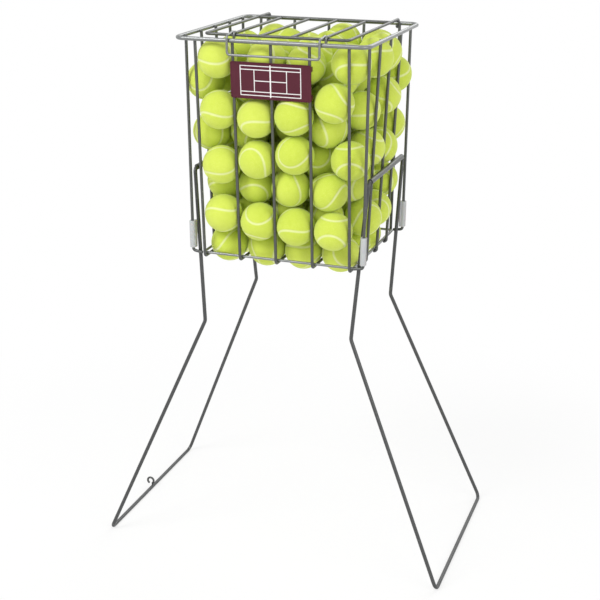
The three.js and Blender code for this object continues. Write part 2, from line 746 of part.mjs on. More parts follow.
// Pushes two balls apart, half each
function pushApart(first, second, spacing) {
  const away = second.clone().sub(first);
  const distance = away.length();
  if (distance >= spacing) return;
  const push = (spacing - distance) / distance / 2;
  first.addScaledVector(away, -push);
  second.addScaledVector(away, push);
}

// How far a ball sinks between two wires before both of them hold it
function nestDepth(pitch) {
  const keep = BALL_DIAMETER / 2 + BALL_GAP + basketR;
  return Math.sqrt(Math.max(keep ** 2 - (pitch / 2) ** 2, 0));
}

// Keeps a ball's centre on the inner side of the floor, the four walls and the lid
function keepInBasket(ball) {
  const limitX = wallAt(ball.z) - nestDepth(SIDE_PITCH);
  const limitY = frontAt(ball.z) - nestDepth(BASKET_PITCH);
  ball.x = THREE.MathUtils.clamp(ball.x, -limitX, limitX);
  ball.y = THREE.MathUtils.clamp(ball.y, -limitY, limitY);
  ball.z = THREE.MathUtils.clamp(
    ball.z, FLOOR_HEIGHT + nestDepth(BASKET_PITCH), ballCeiling - BALL_DIAMETER / 2);
}

// The weight above a ball lowers it and drives it out towards the walls
function sinkAndSpread(ball, sink) {
  ball.z -= sink;
  ball.x += sink * SPREAD_SHARE * ball.x / wallTopX;
  ball.y += sink * SPREAD_SHARE * ball.y / wallTopY;
}

// How many balls fill the basket up to the lid
function ballCount() {
  const middleHeight = (FLOOR_HEIGHT + ballCeiling) / 2;
  const room = 4 * wallAt(middleHeight) * frontAt(middleHeight) * (ballCeiling - FLOOR_HEIGHT);
  return Math.floor(BALL_FILL_SHARE * room / (Math.PI * BALL_DIAMETER ** 3 / 6));
}

// Fills the basket: the balls start in loose layers, sink, and push each other and the wires
function settleBalls() {
  const random = shuffler(BALL_SEED);
  const spacing = BALL_DIAMETER + BALL_GAP;
  const count = ballCount();
  const layers = Math.ceil(count / BALLS_PER_ROW ** 2);
  const layerRise = (ballCeiling - FLOOR_HEIGHT - spacing) / (layers - 1);
  const balls = [];
  for (let index = 0; index < count; index += 1) {
    const layer = Math.floor(index / BALLS_PER_ROW ** 2);
    const column = index % BALLS_PER_ROW;
    const row = Math.floor(index / BALLS_PER_ROW) % BALLS_PER_ROW;
    const stagger = (layer % 2 === 0 ? -1 : 1) * spacing * LAYER_STAGGER_SHARE;
    balls.push(point(
      (column - (BALLS_PER_ROW - 1) / 2) * BASKET_PITCH + stagger + random() * spacing * JITTER_SHARE,
      (row - (BALLS_PER_ROW - 1) / 2) * SIDE_PITCH - stagger + random() * spacing * JITTER_SHARE,
      FLOOR_HEIGHT + spacing / 2 + layer * layerRise));
  }
  const lines = basketLines();
  for (let round = 0; round < SETTLE_ROUNDS; round += 1) {
    const sink = SETTLE_SINK * Math.max(0, 1 - round / SETTLE_ROUNDS / SINKING_SHARE);
    for (const ball of balls) sinkAndSpread(ball, sink);
    for (let first = 0; first < balls.length; first += 1) {
      for (let second = first + 1; second < balls.length; second += 1) {
        if (Math.abs(balls[first].z - balls[second].z) < spacing) {
          pushApart(balls[first], balls[second], spacing);
        }
      }
    }
    for (const ball of balls) {
      for (const line of lines) pushFromLine(ball, line);
      keepInBasket(ball);
    }
  }
  return balls;
}

// Balls that touch count as one pile. The piles grow from the lowest free ball.
function sortIntoPiles(balls) {
  const touching = (first, second) => first.distanceTo(second) < BALL_DIAMETER + BALL_REACH;
  const free = [...balls].sort((first, second) => first.z - second.z);
  const fullPile = Math.ceil(balls.length / BALL_GROUPS);
  const piles = [];
  while (free.length > 0) {
    const pile = { balls: [free.shift()], links: [] };
    while (pile.balls.length < fullPile) {
      const next = free.findIndex((ball) => pile.balls.some((other) => touching(other, ball)));
      if (next < 0) break;
      const [ball] = free.splice(next, 1);
      pile.links.push([pile.balls.find((other) => touching(other, ball)), ball]);
      pile.balls.push(ball);
    }
    joinOrKeep(pile, piles, fullPile, touching);
  }
  return piles;
}

// A leftover of a few balls joins a pile that it touches
function joinOrKeep(pile, piles, fullPile, touching) {
  if (pile.balls.length < fullPile / 2) {
    for (const host of piles) {
      for (const ball of pile.balls) {
        const neighbour = host.balls.find((other) => touching(other, ball));
        if (neighbour) {
          host.balls.push(...pile.balls);
          host.links.push([neighbour, ball], ...pile.links);
          return;
        }
      }
    }
  }
  piles.push(pile);
}

// The felt that two pressed balls share: a short three-sided neck between their middles
function contactNeck(first, second) {
  const length = first.distanceTo(second) / 2;
  const neck = new THREE.CylinderGeometry(BALL_CONTACT / 2, BALL_CONTACT / 2, length, NECK_SIDES);
  const turn = new THREE.Quaternion().setFromUnitVectors(
    AXIS_Y, second.clone().sub(first).normalize());
  neck.applyQuaternion(turn);
  const middle = first.clone().add(second).multiplyScalar(1 / 2);
  neck.translate(middle.x, middle.y, middle.z);
  return toSolid(neck);
}

// The direction from a ball to the wire that it lies nearest to
function towardsWire(ball, lines) {
  let nearest = null;
  let least = Infinity;
  for (const line of lines) {
    const place = nearestOnLine(ball, line);
    const slack = place.distanceTo(ball) - line.keep;
    if (slack < least) {
      least = slack;
      nearest = place;
    }
  }
  return nearest.sub(ball).normalize();
}

// A ball is faceted, with one corner against its wire. In the middle of the basket it hardly
// shows, so there it has fewer faces.
function ballSolid(ball, radius, lines) {
  const deep = BALL_DIAMETER * DEEP_SHARE;
  const hidden = Math.abs(ball.x) < wallAt(ball.z) - deep && Math.abs(ball.y) < frontAt(ball.z) - deep
    && ball.z > FLOOR_HEIGHT + deep && ball.z < ballCeiling - deep;
  const geometry = new THREE.IcosahedronGeometry(radius, hidden ? 0 : 1);
  const corner = new THREE.Vector3().fromBufferAttribute(geometry.getAttribute("position"), 0);
  geometry.applyQuaternion(new THREE.Quaternion().setFromUnitVectors(
    corner.normalize(), towardsWire(ball, lines)));
  geometry.translate(ball.x, ball.y, ball.z);
  return toSolid(geometry);
}

// Where the pile is tight the felt is pressed in, so the balls are drawn a little smaller
function pressedRadius(balls) {
  let closest = BALL_DIAMETER;
  for (let first = 0; first < balls.length; first += 1) {
    for (let second = first + 1; second < balls.length; second += 1) {
      closest = Math.min(closest, balls[first].distanceTo(balls[second]));
    }
  }
  return (closest - SEAT_GAP) / 2;
}

function addBalls(parent) {
  const balls = settleBalls();
  const radius = pressedRadius(balls);
  const lines = basketLines();
  sortIntoPiles(balls).forEach((pile, index) => {
    const solids = pile.balls.map((ball) => ballSolid(ball, radius, lines));
    const necks = pile.links.map(([first, second]) => contactNeck(first, second));
    const geometry = toGeometry(wasm.Manifold.union([...solids, ...necks]));
    addPiece(parent, `balls_${index + 1}`, geometry, ballFelt);
  });
}

const hopper = new THREE.Group();
hopper.name = "ball_hopper";
hopper.position.x = hookOverhang() / 2;
addBasket(hopper);
addLegs(hopper);
addClips(hopper);
addLid(hopper);
addPiece(hopper, "name_plate", namePlate(), platePlastic);
addBalls(hopper);

export default hopper;
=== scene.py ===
# %% [markdown]
# A wire tennis ball hopper, standing on its fold-over legs and full of balls.
# The packed model already says where each piece is and which pieces move together. Here every
# wire gets its round, bent and powder-coated look, the balls get their felt and seams, and the
# plastic parts get soft edges. The frame is loaded first, because everything is measured from it.

# %% Load the frame
import math

import bmesh
import bpy
import numpy as np
from mathutils import Matrix, Vector


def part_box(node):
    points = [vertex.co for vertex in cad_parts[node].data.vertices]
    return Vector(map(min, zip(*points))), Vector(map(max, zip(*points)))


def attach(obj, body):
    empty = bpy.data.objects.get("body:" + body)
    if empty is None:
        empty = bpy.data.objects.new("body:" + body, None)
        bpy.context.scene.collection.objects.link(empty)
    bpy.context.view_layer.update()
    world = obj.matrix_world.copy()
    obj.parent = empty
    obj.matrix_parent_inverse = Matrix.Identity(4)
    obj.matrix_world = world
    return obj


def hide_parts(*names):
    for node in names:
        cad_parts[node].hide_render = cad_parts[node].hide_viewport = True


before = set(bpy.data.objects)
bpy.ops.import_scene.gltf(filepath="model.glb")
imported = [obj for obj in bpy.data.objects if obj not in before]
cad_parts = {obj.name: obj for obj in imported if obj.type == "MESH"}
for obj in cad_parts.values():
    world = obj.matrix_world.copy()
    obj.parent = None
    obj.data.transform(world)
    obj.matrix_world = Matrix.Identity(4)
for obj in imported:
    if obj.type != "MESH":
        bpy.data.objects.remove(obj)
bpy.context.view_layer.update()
scene = bpy.context.scene
scene.view_settings.view_transform = "Standard"

MM = 0.001
rim_low, rim_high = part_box("top_rim")
MIDDLE = Vector(((rim_low.x + rim_high.x) / 2, 0, 0))
print(f"the basket's middle is {MIDDLE.x / MM:.2f} mm right of the origin")

# %% [markdown]
# The camera comes first, so that every test render shows the view of the photograph. A camera
# can be aimed with a Track To constraint, but here its three turns are known, so its axes are
# worked out and written straight into its matrix.

# %% Camera
CAMERA_PLACE = Vector((0.7247, -2.0352, 1.2103))
CAMERA_LENS = 74.93
CAMERA_SENSOR = 36
CAMERA_YAW = math.radians(19.5)
CAMERA_PITCH = math.radians(19.6)
CAMERA_ROLL = math.radians(0.2)


def camera_matrix():
    """The camera's place and axes, from its yaw, its pitch and its roll."""
    ahead = Vector((
        -math.sin(CAMERA_YAW) * math.cos(CAMERA_PITCH),
        math.cos(CAMERA_YAW) * math.cos(CAMERA_PITCH),
        -math.sin(CAMERA_PITCH),
    ))
    right = Vector((math.cos(CAMERA_YAW), math.sin(CAMERA_YAW), 0))
    right = Matrix.Rotation(-CAMERA_ROLL, 3, ahead) @ right
    up = right.cross(ahead)
    turn = Matrix((right, up, -ahead)).transposed().to_4x4()
    return Matrix.Translation(CAMERA_PLACE) @ turn


camera = bpy.data.objects.new("camera", bpy.data.cameras.new("camera"))
camera.data.lens = CAMERA_LENS
camera.data.sensor_width = CAMERA_SENSOR
camera.matrix_world = camera_matrix()
scene.collection.objects.link(camera)
scene.camera = camera
print("camera stands", round(CAMERA_PLACE.length, 2), "m from the origin")

# %% [markdown]
# Materials and Geometry Nodes are both trees of nodes. Wiring them by hand takes many lines, so
# one small class stands for a tree and another for a node's output. Python's own operators on an
# output add the Math nodes, so that a formula in a shader reads like a formula.

# %% A short way to write node trees
def pick(sockets, name):
    """The socket with that number, or the first one in use with that name."""
    if isinstance(name, int):
        return sockets[name]
    return next(socket for socket in sockets if socket.name == name and socket.enabled)


class Output:
    """An output of a node, which sums and products of values can be made with."""

    def __init__(self, tree, socket):
        self.tree = tree
        self.socket = socket

    def __getitem__(self, name):
        return Output(self.tree, pick(self.socket.node.outputs, name))

    def __add__(self, other):
        return self.tree.math("ADD", self, other)

    def __sub__(self, other):
        return self.tree.math("SUBTRACT", self, other)

    def __rsub__(self, other):
        return self.tree.math("SUBTRACT", other, self)

    def __mul__(self, other):
        return self.tree.math("MULTIPLY", self, other)

    def __truediv__(self, other):
        return self.tree.math("DIVIDE", self, other)

    def __pow__(self, other):
        return self.tree.math("POWER", self, other)

    def __abs__(self):
        return self.tree.math("ABSOLUTE", self)

    __radd__ = __add__
    __rmul__ = __mul__


class Tree:
    """A node tree that grows by one node with each call."""

    def __init__(self, nodes):
        self.nodes = nodes

    def add(self, kind, settings=None, inputs=None):
        """Adds a node, and gives its first output in use back."""
        node = self.nodes.nodes.new(kind)
        for name, value in (settings or {}).items():
            setattr(node, name, value)
        for name, value in (inputs or {}).items():
            socket = pick(node.inputs, name)
            if isinstance(value, Output):
                self.nodes.links.new(value.socket, socket)
            elif socket.type == "RGBA" and len(value) == 3:
                socket.default_value = (*value, 1)
            else:
                socket.default_value = value
        used = [socket for socket in node.outputs if socket.enabled]
        return Output(self, used[0]) if used else None

    def math(self, operation, *values):
        return self.add("ShaderNodeMath", {"operation": operation}, dict(enumerate(values)))

    def vector(self, operation, *values):
        return self.add("ShaderNodeVectorMath", {"operation": operation}, dict(enumerate(values)))

    def mix(self, share, first, second):
        """A colour between two colours."""
        return self.add("ShaderNodeMix", {"data_type": "RGBA"}, {
            "Factor": share, "A": first, "B": second})

    def smooth_step(self, value, low, high):
        """Rises from 0 to 1 while the value goes from low to high."""
        return self.add("ShaderNodeMapRange", {"interpolation_type": "SMOOTHSTEP"}, {
            "Value": value, "From Min": low, "From Max": high})

    def noise(self, place, scale, detail=2.0):
        return self.add("ShaderNodeTexNoise", {}, {
            "Vector": place, "Scale": scale, "Detail": detail})

    def bump(self, height, distance, strength=1.0):
        return self.add("ShaderNodeBump", {}, {
            "Height": height, "Distance": distance, "Strength": strength})


def new_material(name):
    """A material with an empty tree."""
    material = bpy.data.materials.new(name)
    material.use_nodes = True
    material.node_tree.nodes.clear()
    return material, Tree(material.node_tree)


def finish_material(tree, **inputs):
    """Ends a material in one shader. Its sockets are named with _ for each space."""
    named = {name.replace("_", " "): value for name, value in inputs.items()}
    shader = tree.add("ShaderNodeBsdfPrincipled", {}, named)
    tree.add("ShaderNodeOutputMaterial", {}, {"Surface": shader})


print("operators ready:", [name for name in vars(Output) if name.startswith("__r")])

# %% [markdown]
# The wires are powder-coated steel. Powder coat is a baked paint: it is satin, its surface has a
# very fine orange peel, and its tone wanders a little along the wire. Bare metal with a paint
# layer on top would also work, but a partly metallic shader has the same soft long highlight and
# needs one layer only. Where a wire rubs on another piece or on the ground, the coat is scuffed.

# %% Powder coat
PEEL_SCALE = 1600
PEEL_HEIGHT = 0.05 * MM
PEEL_ROUGHNESS = 0.12
TONE_SCALE = 45
TONE_SPREAD = 0.16
SPECK_SCALE = 260
SPECK_DETAIL = 4
SPECK_RANGE = (0.62, 0.72)
SPECK_WEAR = 0.35
PATCH_SCALE = SPECK_SCALE / 3
PATCH_DETAIL = 5
PATCH_RANGE = (0.42, 0.6)
WORN_GAIN = 1.9
WORN_LIFT = 0.12
WORN_ROUGHNESS = 0.12
FULL_WEAR_SHARE = 0.2


def powder_coat(name, colour, roughness, metallic, scuff_height=None):
    """Satin paint on wire. Below scuff_height, where a wire stands on the ground, it is worn."""
    material, tree = new_material(name)
    place = tree.add("ShaderNodeTexCoord")["Object"]
    tone = tree.noise(place, TONE_SCALE) * TONE_SPREAD + (1 - TONE_SPREAD / 2)
    peel = tree.noise(place, PEEL_SCALE)
    worn_colour = tuple(min(1, channel * WORN_GAIN + WORN_LIFT) for channel in colour)
    specks = tree.smooth_step(tree.noise(place, SPECK_SCALE, SPECK_DETAIL), *SPECK_RANGE)
    worn = specks * SPECK_WEAR
    if scuff_height:
        height = tree.add("ShaderNodeSeparateXYZ", {}, {"Vector": place})["Z"]
        low = 1 - tree.smooth_step(height, scuff_height * FULL_WEAR_SHARE, scuff_height)
        patches = tree.smooth_step(tree.noise(place, PATCH_SCALE, PATCH_DETAIL), *PATCH_RANGE)
        worn = tree.math("MAXIMUM", worn, low * patches)
    toned = tree.vector("MULTIPLY", colour, tree.add("ShaderNodeCombineXYZ", {}, {
        "X": tone, "Y": tone, "Z": tone}))
    finish_material(
        tree,
        Base_Color=tree.mix(worn, toned, worn_colour),
        Roughness=(peel * PEEL_ROUGHNESS + (roughness - PEEL_ROUGHNESS / 2)
                   + worn * WORN_ROUGHNESS),
        Metallic=metallic,
        Normal=tree.bump(peel, PEEL_HEIGHT))
    return material


GROUND_SCUFF = 4.5 * MM
GUNMETAL = (0.098, 0.102, 0.099)
SILVER_GREY = (0.222, 0.230, 0.228)
LEG_GREY = (0.080, 0.082, 0.082)
dark_coat = powder_coat("gunmetal powder coat", GUNMETAL, 0.36, 0.5)
bright_coat = powder_coat("silver grey powder coat", SILVER_GREY, 0.32, 0.6)
leg_coat = powder_coat("leg powder coat", LEG_GREY, 0.34, 0.5, GROUND_SCUFF)

# %% [markdown]
# Every wire of the hopper is a round rod, bent in a jig. In Blender it could be a curve object
# with a bevel, but Geometry Nodes fit better: one tree takes a bare path of corner points, rounds
# each corner to its own radius and sweeps a circle along it, as thick as the path says. Each wire
# then is nothing but a few points, and one change to the tree changes them all.

# %% The tree that bends a wire
WIRE_SIDES = 20
BEND_STEPS = 10


def geometry_tree(name, inputs):
    """Starts a Geometry Nodes tree with named inputs. Gives the tree and its inputs back."""
    nodes = bpy.data.node_groups.new(name, "GeometryNodeTree")
    nodes.interface.new_socket("Geometry", in_out="INPUT", socket_type="NodeSocketGeometry")
    for label, kind in inputs.items():
        nodes.interface.new_socket(label, in_out="INPUT", socket_type=kind)
    nodes.interface.new_socket("Geometry", in_out="OUTPUT", socket_type="NodeSocketGeometry")
    tree = Tree(nodes)
    return tree, tree.add("NodeGroupInput")


def named_attribute(tree, name, kind="FLOAT"):
    return tree.add("GeometryNodeInputNamedAttribute", {"data_type": kind}, {"Name": name})


def end_tree(tree, geometry, finish):
    """Makes the result plain and smooth, and gives it its material."""
    real = tree.add("GeometryNodeRealizeInstances", {}, {"Geometry": geometry})
    smooth = tree.add("GeometryNodeSetShadeSmooth", {}, {"Geometry": real})
    coated = tree.add("GeometryNodeSetMaterial", {}, {"Geometry": smooth, "Material": finish})
    tree.add("NodeGroupOutput", {}, {"Geometry": coated})


def wire_tree():
    tree, given = geometry_tree("bent wire", {
        "Wire radius": "NodeSocketFloat", "Sides": "NodeSocketInt",
        "Bend steps": "NodeSocketInt", "Finish": "NodeSocketMaterial"})
    path = tree.add("GeometryNodeMeshToCurve", {}, {"Mesh": given["Geometry"]})
    bent = tree.add("GeometryNodeFilletCurve", {"mode": "POLY"}, {
        "Curve": path, "Count": given["Bend steps"], "Radius": named_attribute(tree, "bend")})
    circle = tree.add("GeometryNodeCurvePrimitiveCircle", {"mode": "RADIUS"}, {
        "Resolution": given["Sides"], "Radius": given["Wire radius"]})
    swept = tree.add("GeometryNodeCurveToMesh", {}, {
        "Curve": bent, "Profile Curve": circle,
        "Scale": named_attribute(tree, "thickness"), "Fill Caps": True})
    end_tree(tree, swept, given["Finish"])
    return tree


bent_wire = wire_tree()
print("the wire tree has", len(bent_wire.nodes.nodes), "nodes")

# %% [markdown]
# A tree needs a mesh to work on. A path is written as a list of stations in millimetres from the
# basket's middle: a point and the radius that it is bent to, or 0 where a hook or a coil already
# comes as a row of points. A cut end isn't knife-sharp, so the path starts thinner there and
# swells to the full wire. run_tree sets the tree's named inputs and turns the evaluated result
# into a plain mesh, because a finished piece has no live modifier.

# %% Paths, and running a tree on them
END_ROUNDING_SHARE = 0.35
END_ROUNDING_STEPS = 4
END_ROUNDING_ROOM = 1.5
ARC_STEPS = 18


def placed(point):
    """A point in millimetres from the basket's middle, in the frame's metres."""
    return Vector(point) * MM + MIDDLE


def rounded_end(stations, radius):
    """The path with its first end rounded: it swells from the cut face to the full wire."""
    tip = stations[0][0]
    depth = radius * END_ROUNDING_SHARE
    rest = stations[1:]
    while len(rest) > 1 and (rest[0][0] - tip).length < END_ROUNDING_ROOM * depth:
        rest = rest[1:]
    inward = (rest[0][0] - tip).normalized()
    swelling = []
    for step in range(END_ROUNDING_STEPS + 1):
        angle = math.pi / 2 * step / END_ROUNDING_STEPS
        thickness = 1 - END_ROUNDING_SHARE * (1 - math.sin(angle))
        swelling.append((tip + inward * depth * (1 - math.cos(angle)), 0, thickness))
    return swelling + rest


def path_mesh(name, path, radius, closed):
    """A chain of edges with the attributes that the wire tree reads."""
    stations = [(placed(point), bend * MM, 1) for point, bend in path]
    if not closed:
        stations = rounded_end(stations, radius * MM)
        stations = rounded_end(stations[::-1], radius * MM)[::-1]
    count = len(stations)
    edges = [(index, (index + 1) % count) for index in range(count if closed else count - 1)]
    mesh = bpy.data.meshes.new(name)
    mesh.from_pydata([point for point, _, _ in stations], edges, [])
    for label, column in (("bend", 1), ("thickness", 2)):
        attribute = mesh.attributes.new(label, "FLOAT", "POINT")
        attribute.data.foreach_set("value", [station[column] for station in stations])
    return mesh


def run_tree(tree, name, mesh, settings):
    """Runs a tree on a mesh, and gives the result back as an object with a plain mesh."""
    piece = bpy.data.objects.new(name, mesh)
    scene.collection.objects.link(piece)
    modifier = piece.modifiers.new(name, "NODES")
    modifier.node_group = tree.nodes
    for item in tree.nodes.interface.items_tree:
        if item.in_out == "INPUT" and item.name in settings:
            modifier[item.identifier] = settings[item.name]
    evaluated = piece.evaluated_get(bpy.context.evaluated_depsgraph_get())
    result = bpy.data.meshes.new_from_object(evaluated)
    piece.modifiers.remove(modifier)
    piece.data = result
    bpy.data.meshes.remove(mesh)
    return piece


def stand_for(piece, body, slot, *nodes):
    """The piece rides on a body, and stands for the CAD nodes that it replaces."""
    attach(piece, body)
    if nodes:
        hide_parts(*nodes)
    return piece


def wire(node, path, radius, finish, body, slot, closed=False):
    """Makes one bent wire in the place of its CAD node, and says how well the boxes agree."""
    name = "round_" + node
    piece = run_tree(bent_wire, name, path_mesh(name, path, radius, closed), {
        "Wire radius": radius * MM, "Sides": WIRE_SIDES,
        "Bend steps": BEND_STEPS, "Finish": finish})
    low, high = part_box(node)
    places = [vertex.co for vertex in piece.data.vertices]
    off = max(max(abs(min(place[axis] for place in places) - low[axis]),
                  abs(max(place[axis] for place in places) - high[axis])) for axis in range(3))
    faces = len(piece.data.polygons)
    print(f"{name}: {faces} faces, box within {off / MM:.2f} mm of its CAD node")
    return stand_for(piece, body, slot, node)


def arc(centre, first_arm, second_arm, turn, steps=ARC_STEPS):
    """Stations from the first arm of a circle round towards its second arm."""
    stations = []
    for step in range(steps + 1):
        angle = turn * step / steps
        first_reach = Vector(first_arm) * math.cos(angle)
        second_reach = Vector(second_arm) * math.sin(angle)
        stations.append((Vector(centre) + first_reach + second_reach, 0))
    return stations


print("a cut end is rounded by", END_ROUNDING_SHARE, "of the wire's radius")

# %% [markdown]
# The basket: a heavy rim that is one welded ring, five wires that each run down the front, under
# the balls and up the back, and a thinner rail round the floor that lies in their bends. The
# wires' upper ends are welded to the inside of the rim, so the rim passes in front of them.

# %% Rim, floor rail and basket wires
SEAT = 0.3
RIM_R = 3.5
BASKET_R = 2.6
RAIL_R = 2.2
RIM_HEIGHT = 929
RIM_HALF_WIDTH = 165
RIM_HALF_DEPTH = 156
RIM_BEND = 16
WIRE_TOP = 930
FLOOR_HEIGHT = 550
FLOOR_HALF_DEPTH = 128
FLOOR_BEND = 7
BASKET_PITCH = 66
BASKET_COLUMNS = range(-2, 3)
RAIL_BEND = 6

wall_top_x = RIM_HALF_WIDTH - RIM_R - BASKET_R - SEAT
wall_top_y = RIM_HALF_DEPTH - RIM_R - BASKET_R - SEAT
nest = FLOOR_BEND - (FLOOR_BEND - BASKET_R - RAIL_R - SEAT) / math.sqrt(2)
rail_x = 2 * BASKET_PITCH + BASKET_R + RAIL_R + SEAT
rail_y = FLOOR_HALF_DEPTH - nest
rail_z = FLOOR_HEIGHT + nest
front_slope = (wall_top_y - FLOOR_HALF_DEPTH) / (RIM_HEIGHT - FLOOR_HEIGHT)


def front_at(height):
    """How far out the front and back wires stand at a height."""
    return FLOOR_HALF_DEPTH + front_slope * (height - FLOOR_HEIGHT)


def rectangle(half_width, half_depth, height, bend):
    corners = [(1, -1), (1, 1), (-1, 1), (-1, -1)]
    return [((x * half_width, y * half_depth, height), bend) for x, y in corners]


wire("top_rim", rectangle(RIM_HALF_WIDTH, RIM_HALF_DEPTH, RIM_HEIGHT, RIM_BEND), RIM_R,
     bright_coat, "basket", "bright_wire", closed=True)
wire("floor_rail", rectangle(rail_x, rail_y, rail_z, RAIL_BEND), RAIL_R,
     bright_coat, "basket", "bright_wire", closed=True)
for number, column in enumerate(BASKET_COLUMNS, 1):
    x = column * BASKET_PITCH
    wire(f"basket_wire_{number}", [
        ((x, -front_at(WIRE_TOP), WIRE_TOP), 0),
        ((x, -FLOOR_HALF_DEPTH, FLOOR_HEIGHT), FLOOR_BEND),
        ((x, FLOOR_HALF_DEPTH, FLOOR_HEIGHT), FLOOR_BEND),
        ((x, front_at(WIRE_TOP), WIRE_TOP), 0),
    ], BASKET_R, dark_coat, "basket", "dark_wire")

# %% [markdown]
# Five wires close each side. The middle ones turn in under the floor rail. The outermost ones
# stand further out at the floor, because they carry the plastic corner clips, and their feet run
# back in to the rail's corners.

# %% Side wires
SIDE_PITCH = 62.8
SIDE_ROWS = range(-2, 3)
RAIL_HOOK_TURN = math.radians(100)
CORNER_REACH = 155
CORNER_BEND_HEIGHT = 558
CORNER_BEND = 5

rail_hook = RAIL_R + BASKET_R + SEAT
wall_foot_x = rail_x + rail_hook
wall_slope = (wall_top_x - wall_foot_x) / (RIM_HEIGHT - rail_z)
corner_y = 2 * SIDE_PITCH
corner_reach = RAIL_BEND + rail_hook
corner_foot_x = rail_x - RAIL_BEND + math.sqrt(
    corner_reach ** 2 - (corner_y - rail_y + RAIL_BEND) ** 2)


def wall_at(height):
    """How far out the side wires stand at a height."""
    return wall_foot_x + wall_slope * (height - rail_z)


def side_wire_path(side, row):
    y = row * SIDE_PITCH
    if abs(row) == max(SIDE_ROWS):
        return [
            ((side * wall_top_x, y, WIRE_TOP), 0),
            ((side * CORNER_REACH, y, CORNER_BEND_HEIGHT), CORNER_BEND),
            ((side * corner_foot_x, y, rail_z), 0),
        ]
    foot = arc((side * rail_x, y, rail_z), (side * rail_hook, 0, 0), (0, 0, -rail_hook),
               RAIL_HOOK_TURN)
    return [((side * wall_at(WIRE_TOP), y, WIRE_TOP), 0), *foot]


SIDES = ((-1, "left"), (1, "right"))
for side, side_name in SIDES:
    for number, row in enumerate(SIDE_ROWS, 1):
        wire(f"{side_name}_side_wire_{number}", side_wire_path(side, row), BASKET_R,
             dark_coat, "basket", "dark_wire")

# %% [markdown]
# Each leg is one wire, bent into a loop. Its ends turn in a steel tube that is welded across the
# basket's side, so the loop folds over and becomes a carrying handle. The tube is turned from a
# profile with rounded edges, and a lathe is the natural way to make it: rings of points round an
# axis, each joined to the next.

# %% Pivot tubes
PIVOT_HEIGHT = 701
PIVOT_HALF_LENGTH = 99
TUBE_WALL = 1
TUBE_EDGE = 0.3
TUBE_STEPS = 48
SMOOTH_ANGLE = math.radians(35)

tube_low, tube_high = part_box("right_pivot_tube")
pivot_x = (tube_low + tube_high).x / 2 / MM - MIDDLE.x / MM
tube_r = (tube_high - tube_low).z / 2 / MM
bore_r = tube_r - TUBE_WALL


def tube_profile():
    """The cut through the tube's wall: radius and place along the tube, with broken edges."""
    end = PIVOT_HALF_LENGTH
    corners = [(bore_r, -end), (tube_r, -end), (tube_r, end), (bore_r, end)]
    inward = [(1, 1), (-1, 1), (-1, -1), (1, -1)]
    profile = []
    for index, ((radius, along), (dr, da)) in enumerate(zip(corners, inward)):
        first = (radius + dr * TUBE_EDGE, along)
        second = (radius, along + da * TUBE_EDGE)
        profile += [second, first] if index % 2 == 0 else [first, second]
    return profile


def lathe(name, profile, centre):
    """A ring-shaped solid: the profile turned about an axis along Y."""
    builder = bmesh.new()
    rings = []
    for step in range(TUBE_STEPS):
        angle = 2 * math.pi * step / TUBE_STEPS
        rings.append([builder.verts.new(placed((
            centre[0] + radius * math.cos(angle),
            centre[1] + along,
            centre[2] + radius * math.sin(angle),
        ))) for radius, along in profile])
    for index, ring in enumerate(rings):
        after = rings[(index + 1) % TUBE_STEPS]
        for corner in range(len(profile)):
            beyond = (corner + 1) % len(profile)
            builder.faces.new((ring[corner], ring[beyond], after[beyond], after[corner]))
    bmesh.ops.recalc_face_normals(builder, faces=builder.faces)
    mesh = bpy.data.meshes.new(name)
    builder.to_mesh(mesh)
    builder.free()
    return mesh


def smooth_by_angle(mesh):
    """Smooth shading, apart from sharp edges."""
    mesh.shade_smooth()
    mesh.set_sharp_from_angle(angle=SMOOTH_ANGLE)


for side, side_name in SIDES:
    mesh = lathe(
        f"turned_{side_name}_pivot_tube", tube_profile(), (side * pivot_x, 0, PIVOT_HEIGHT))
    mesh.materials.append(dark_coat)
    smooth_by_angle(mesh)
    tube = bpy.data.objects.new(mesh.name, mesh)
    scene.collection.objects.link(tube)
    stand_for(tube, "basket", "dark_wire", f"{side_name}_pivot_tube")
print(f"pivot tubes: {2 * tube_r:.2f} mm over a bore of {2 * bore_r:.2f} mm")

# %% [markdown]
# The legs themselves: out of the tube, down past the basket's corner, a knee under the floor, out
# to the ground, along it, and back the same way. The left one carries a small curl of thinner
# wire: an open ring that is welded to the bar's top and leans outwards a little.

# %% Legs and grip hook
LEG_R = 3.3
TUBE_INSERT = 34
TOP_BEND = 8
KNEE_HEIGHT = 428
KNEE_X = 136
KNEE_Y = 125
KNEE_BEND = 16
FOOT_X = 316
FOOT_Y = 180
FOOT_Z = 3.05
FOOT_BEND = 11
HOOK_R = 2
HOOK_RING_R = 6.4
HOOK_LEAN = math.radians(26)
HOOK_TURN = 2 * math.pi * 0.86
HOOK_STEPS = 40

arm_y = PIVOT_HALF_LENGTH + TOP_BEND + SEAT


def leg_path(side):
    half = [
        ((side * pivot_x, -(PIVOT_HALF_LENGTH - TUBE_INSERT), PIVOT_HEIGHT), 0),
        ((side * pivot_x, -arm_y, PIVOT_HEIGHT), TOP_BEND),
        ((side * KNEE_X, -KNEE_Y, KNEE_HEIGHT), KNEE_BEND),
        ((side * FOOT_X, -FOOT_Y, FOOT_Z), FOOT_BEND),
    ]
    mirrored = [((x, -y, z), bend) for (x, y, z), bend in reversed(half)]
    return half + mirrored


def on_grip(reach):
    """The point at a distance from the middle of the left grip, on the side of its curl."""
    return Vector((-FOOT_X - reach * math.sin(HOOK_LEAN), 0, FOOT_Z + reach * math.cos(HOOK_LEAN)))


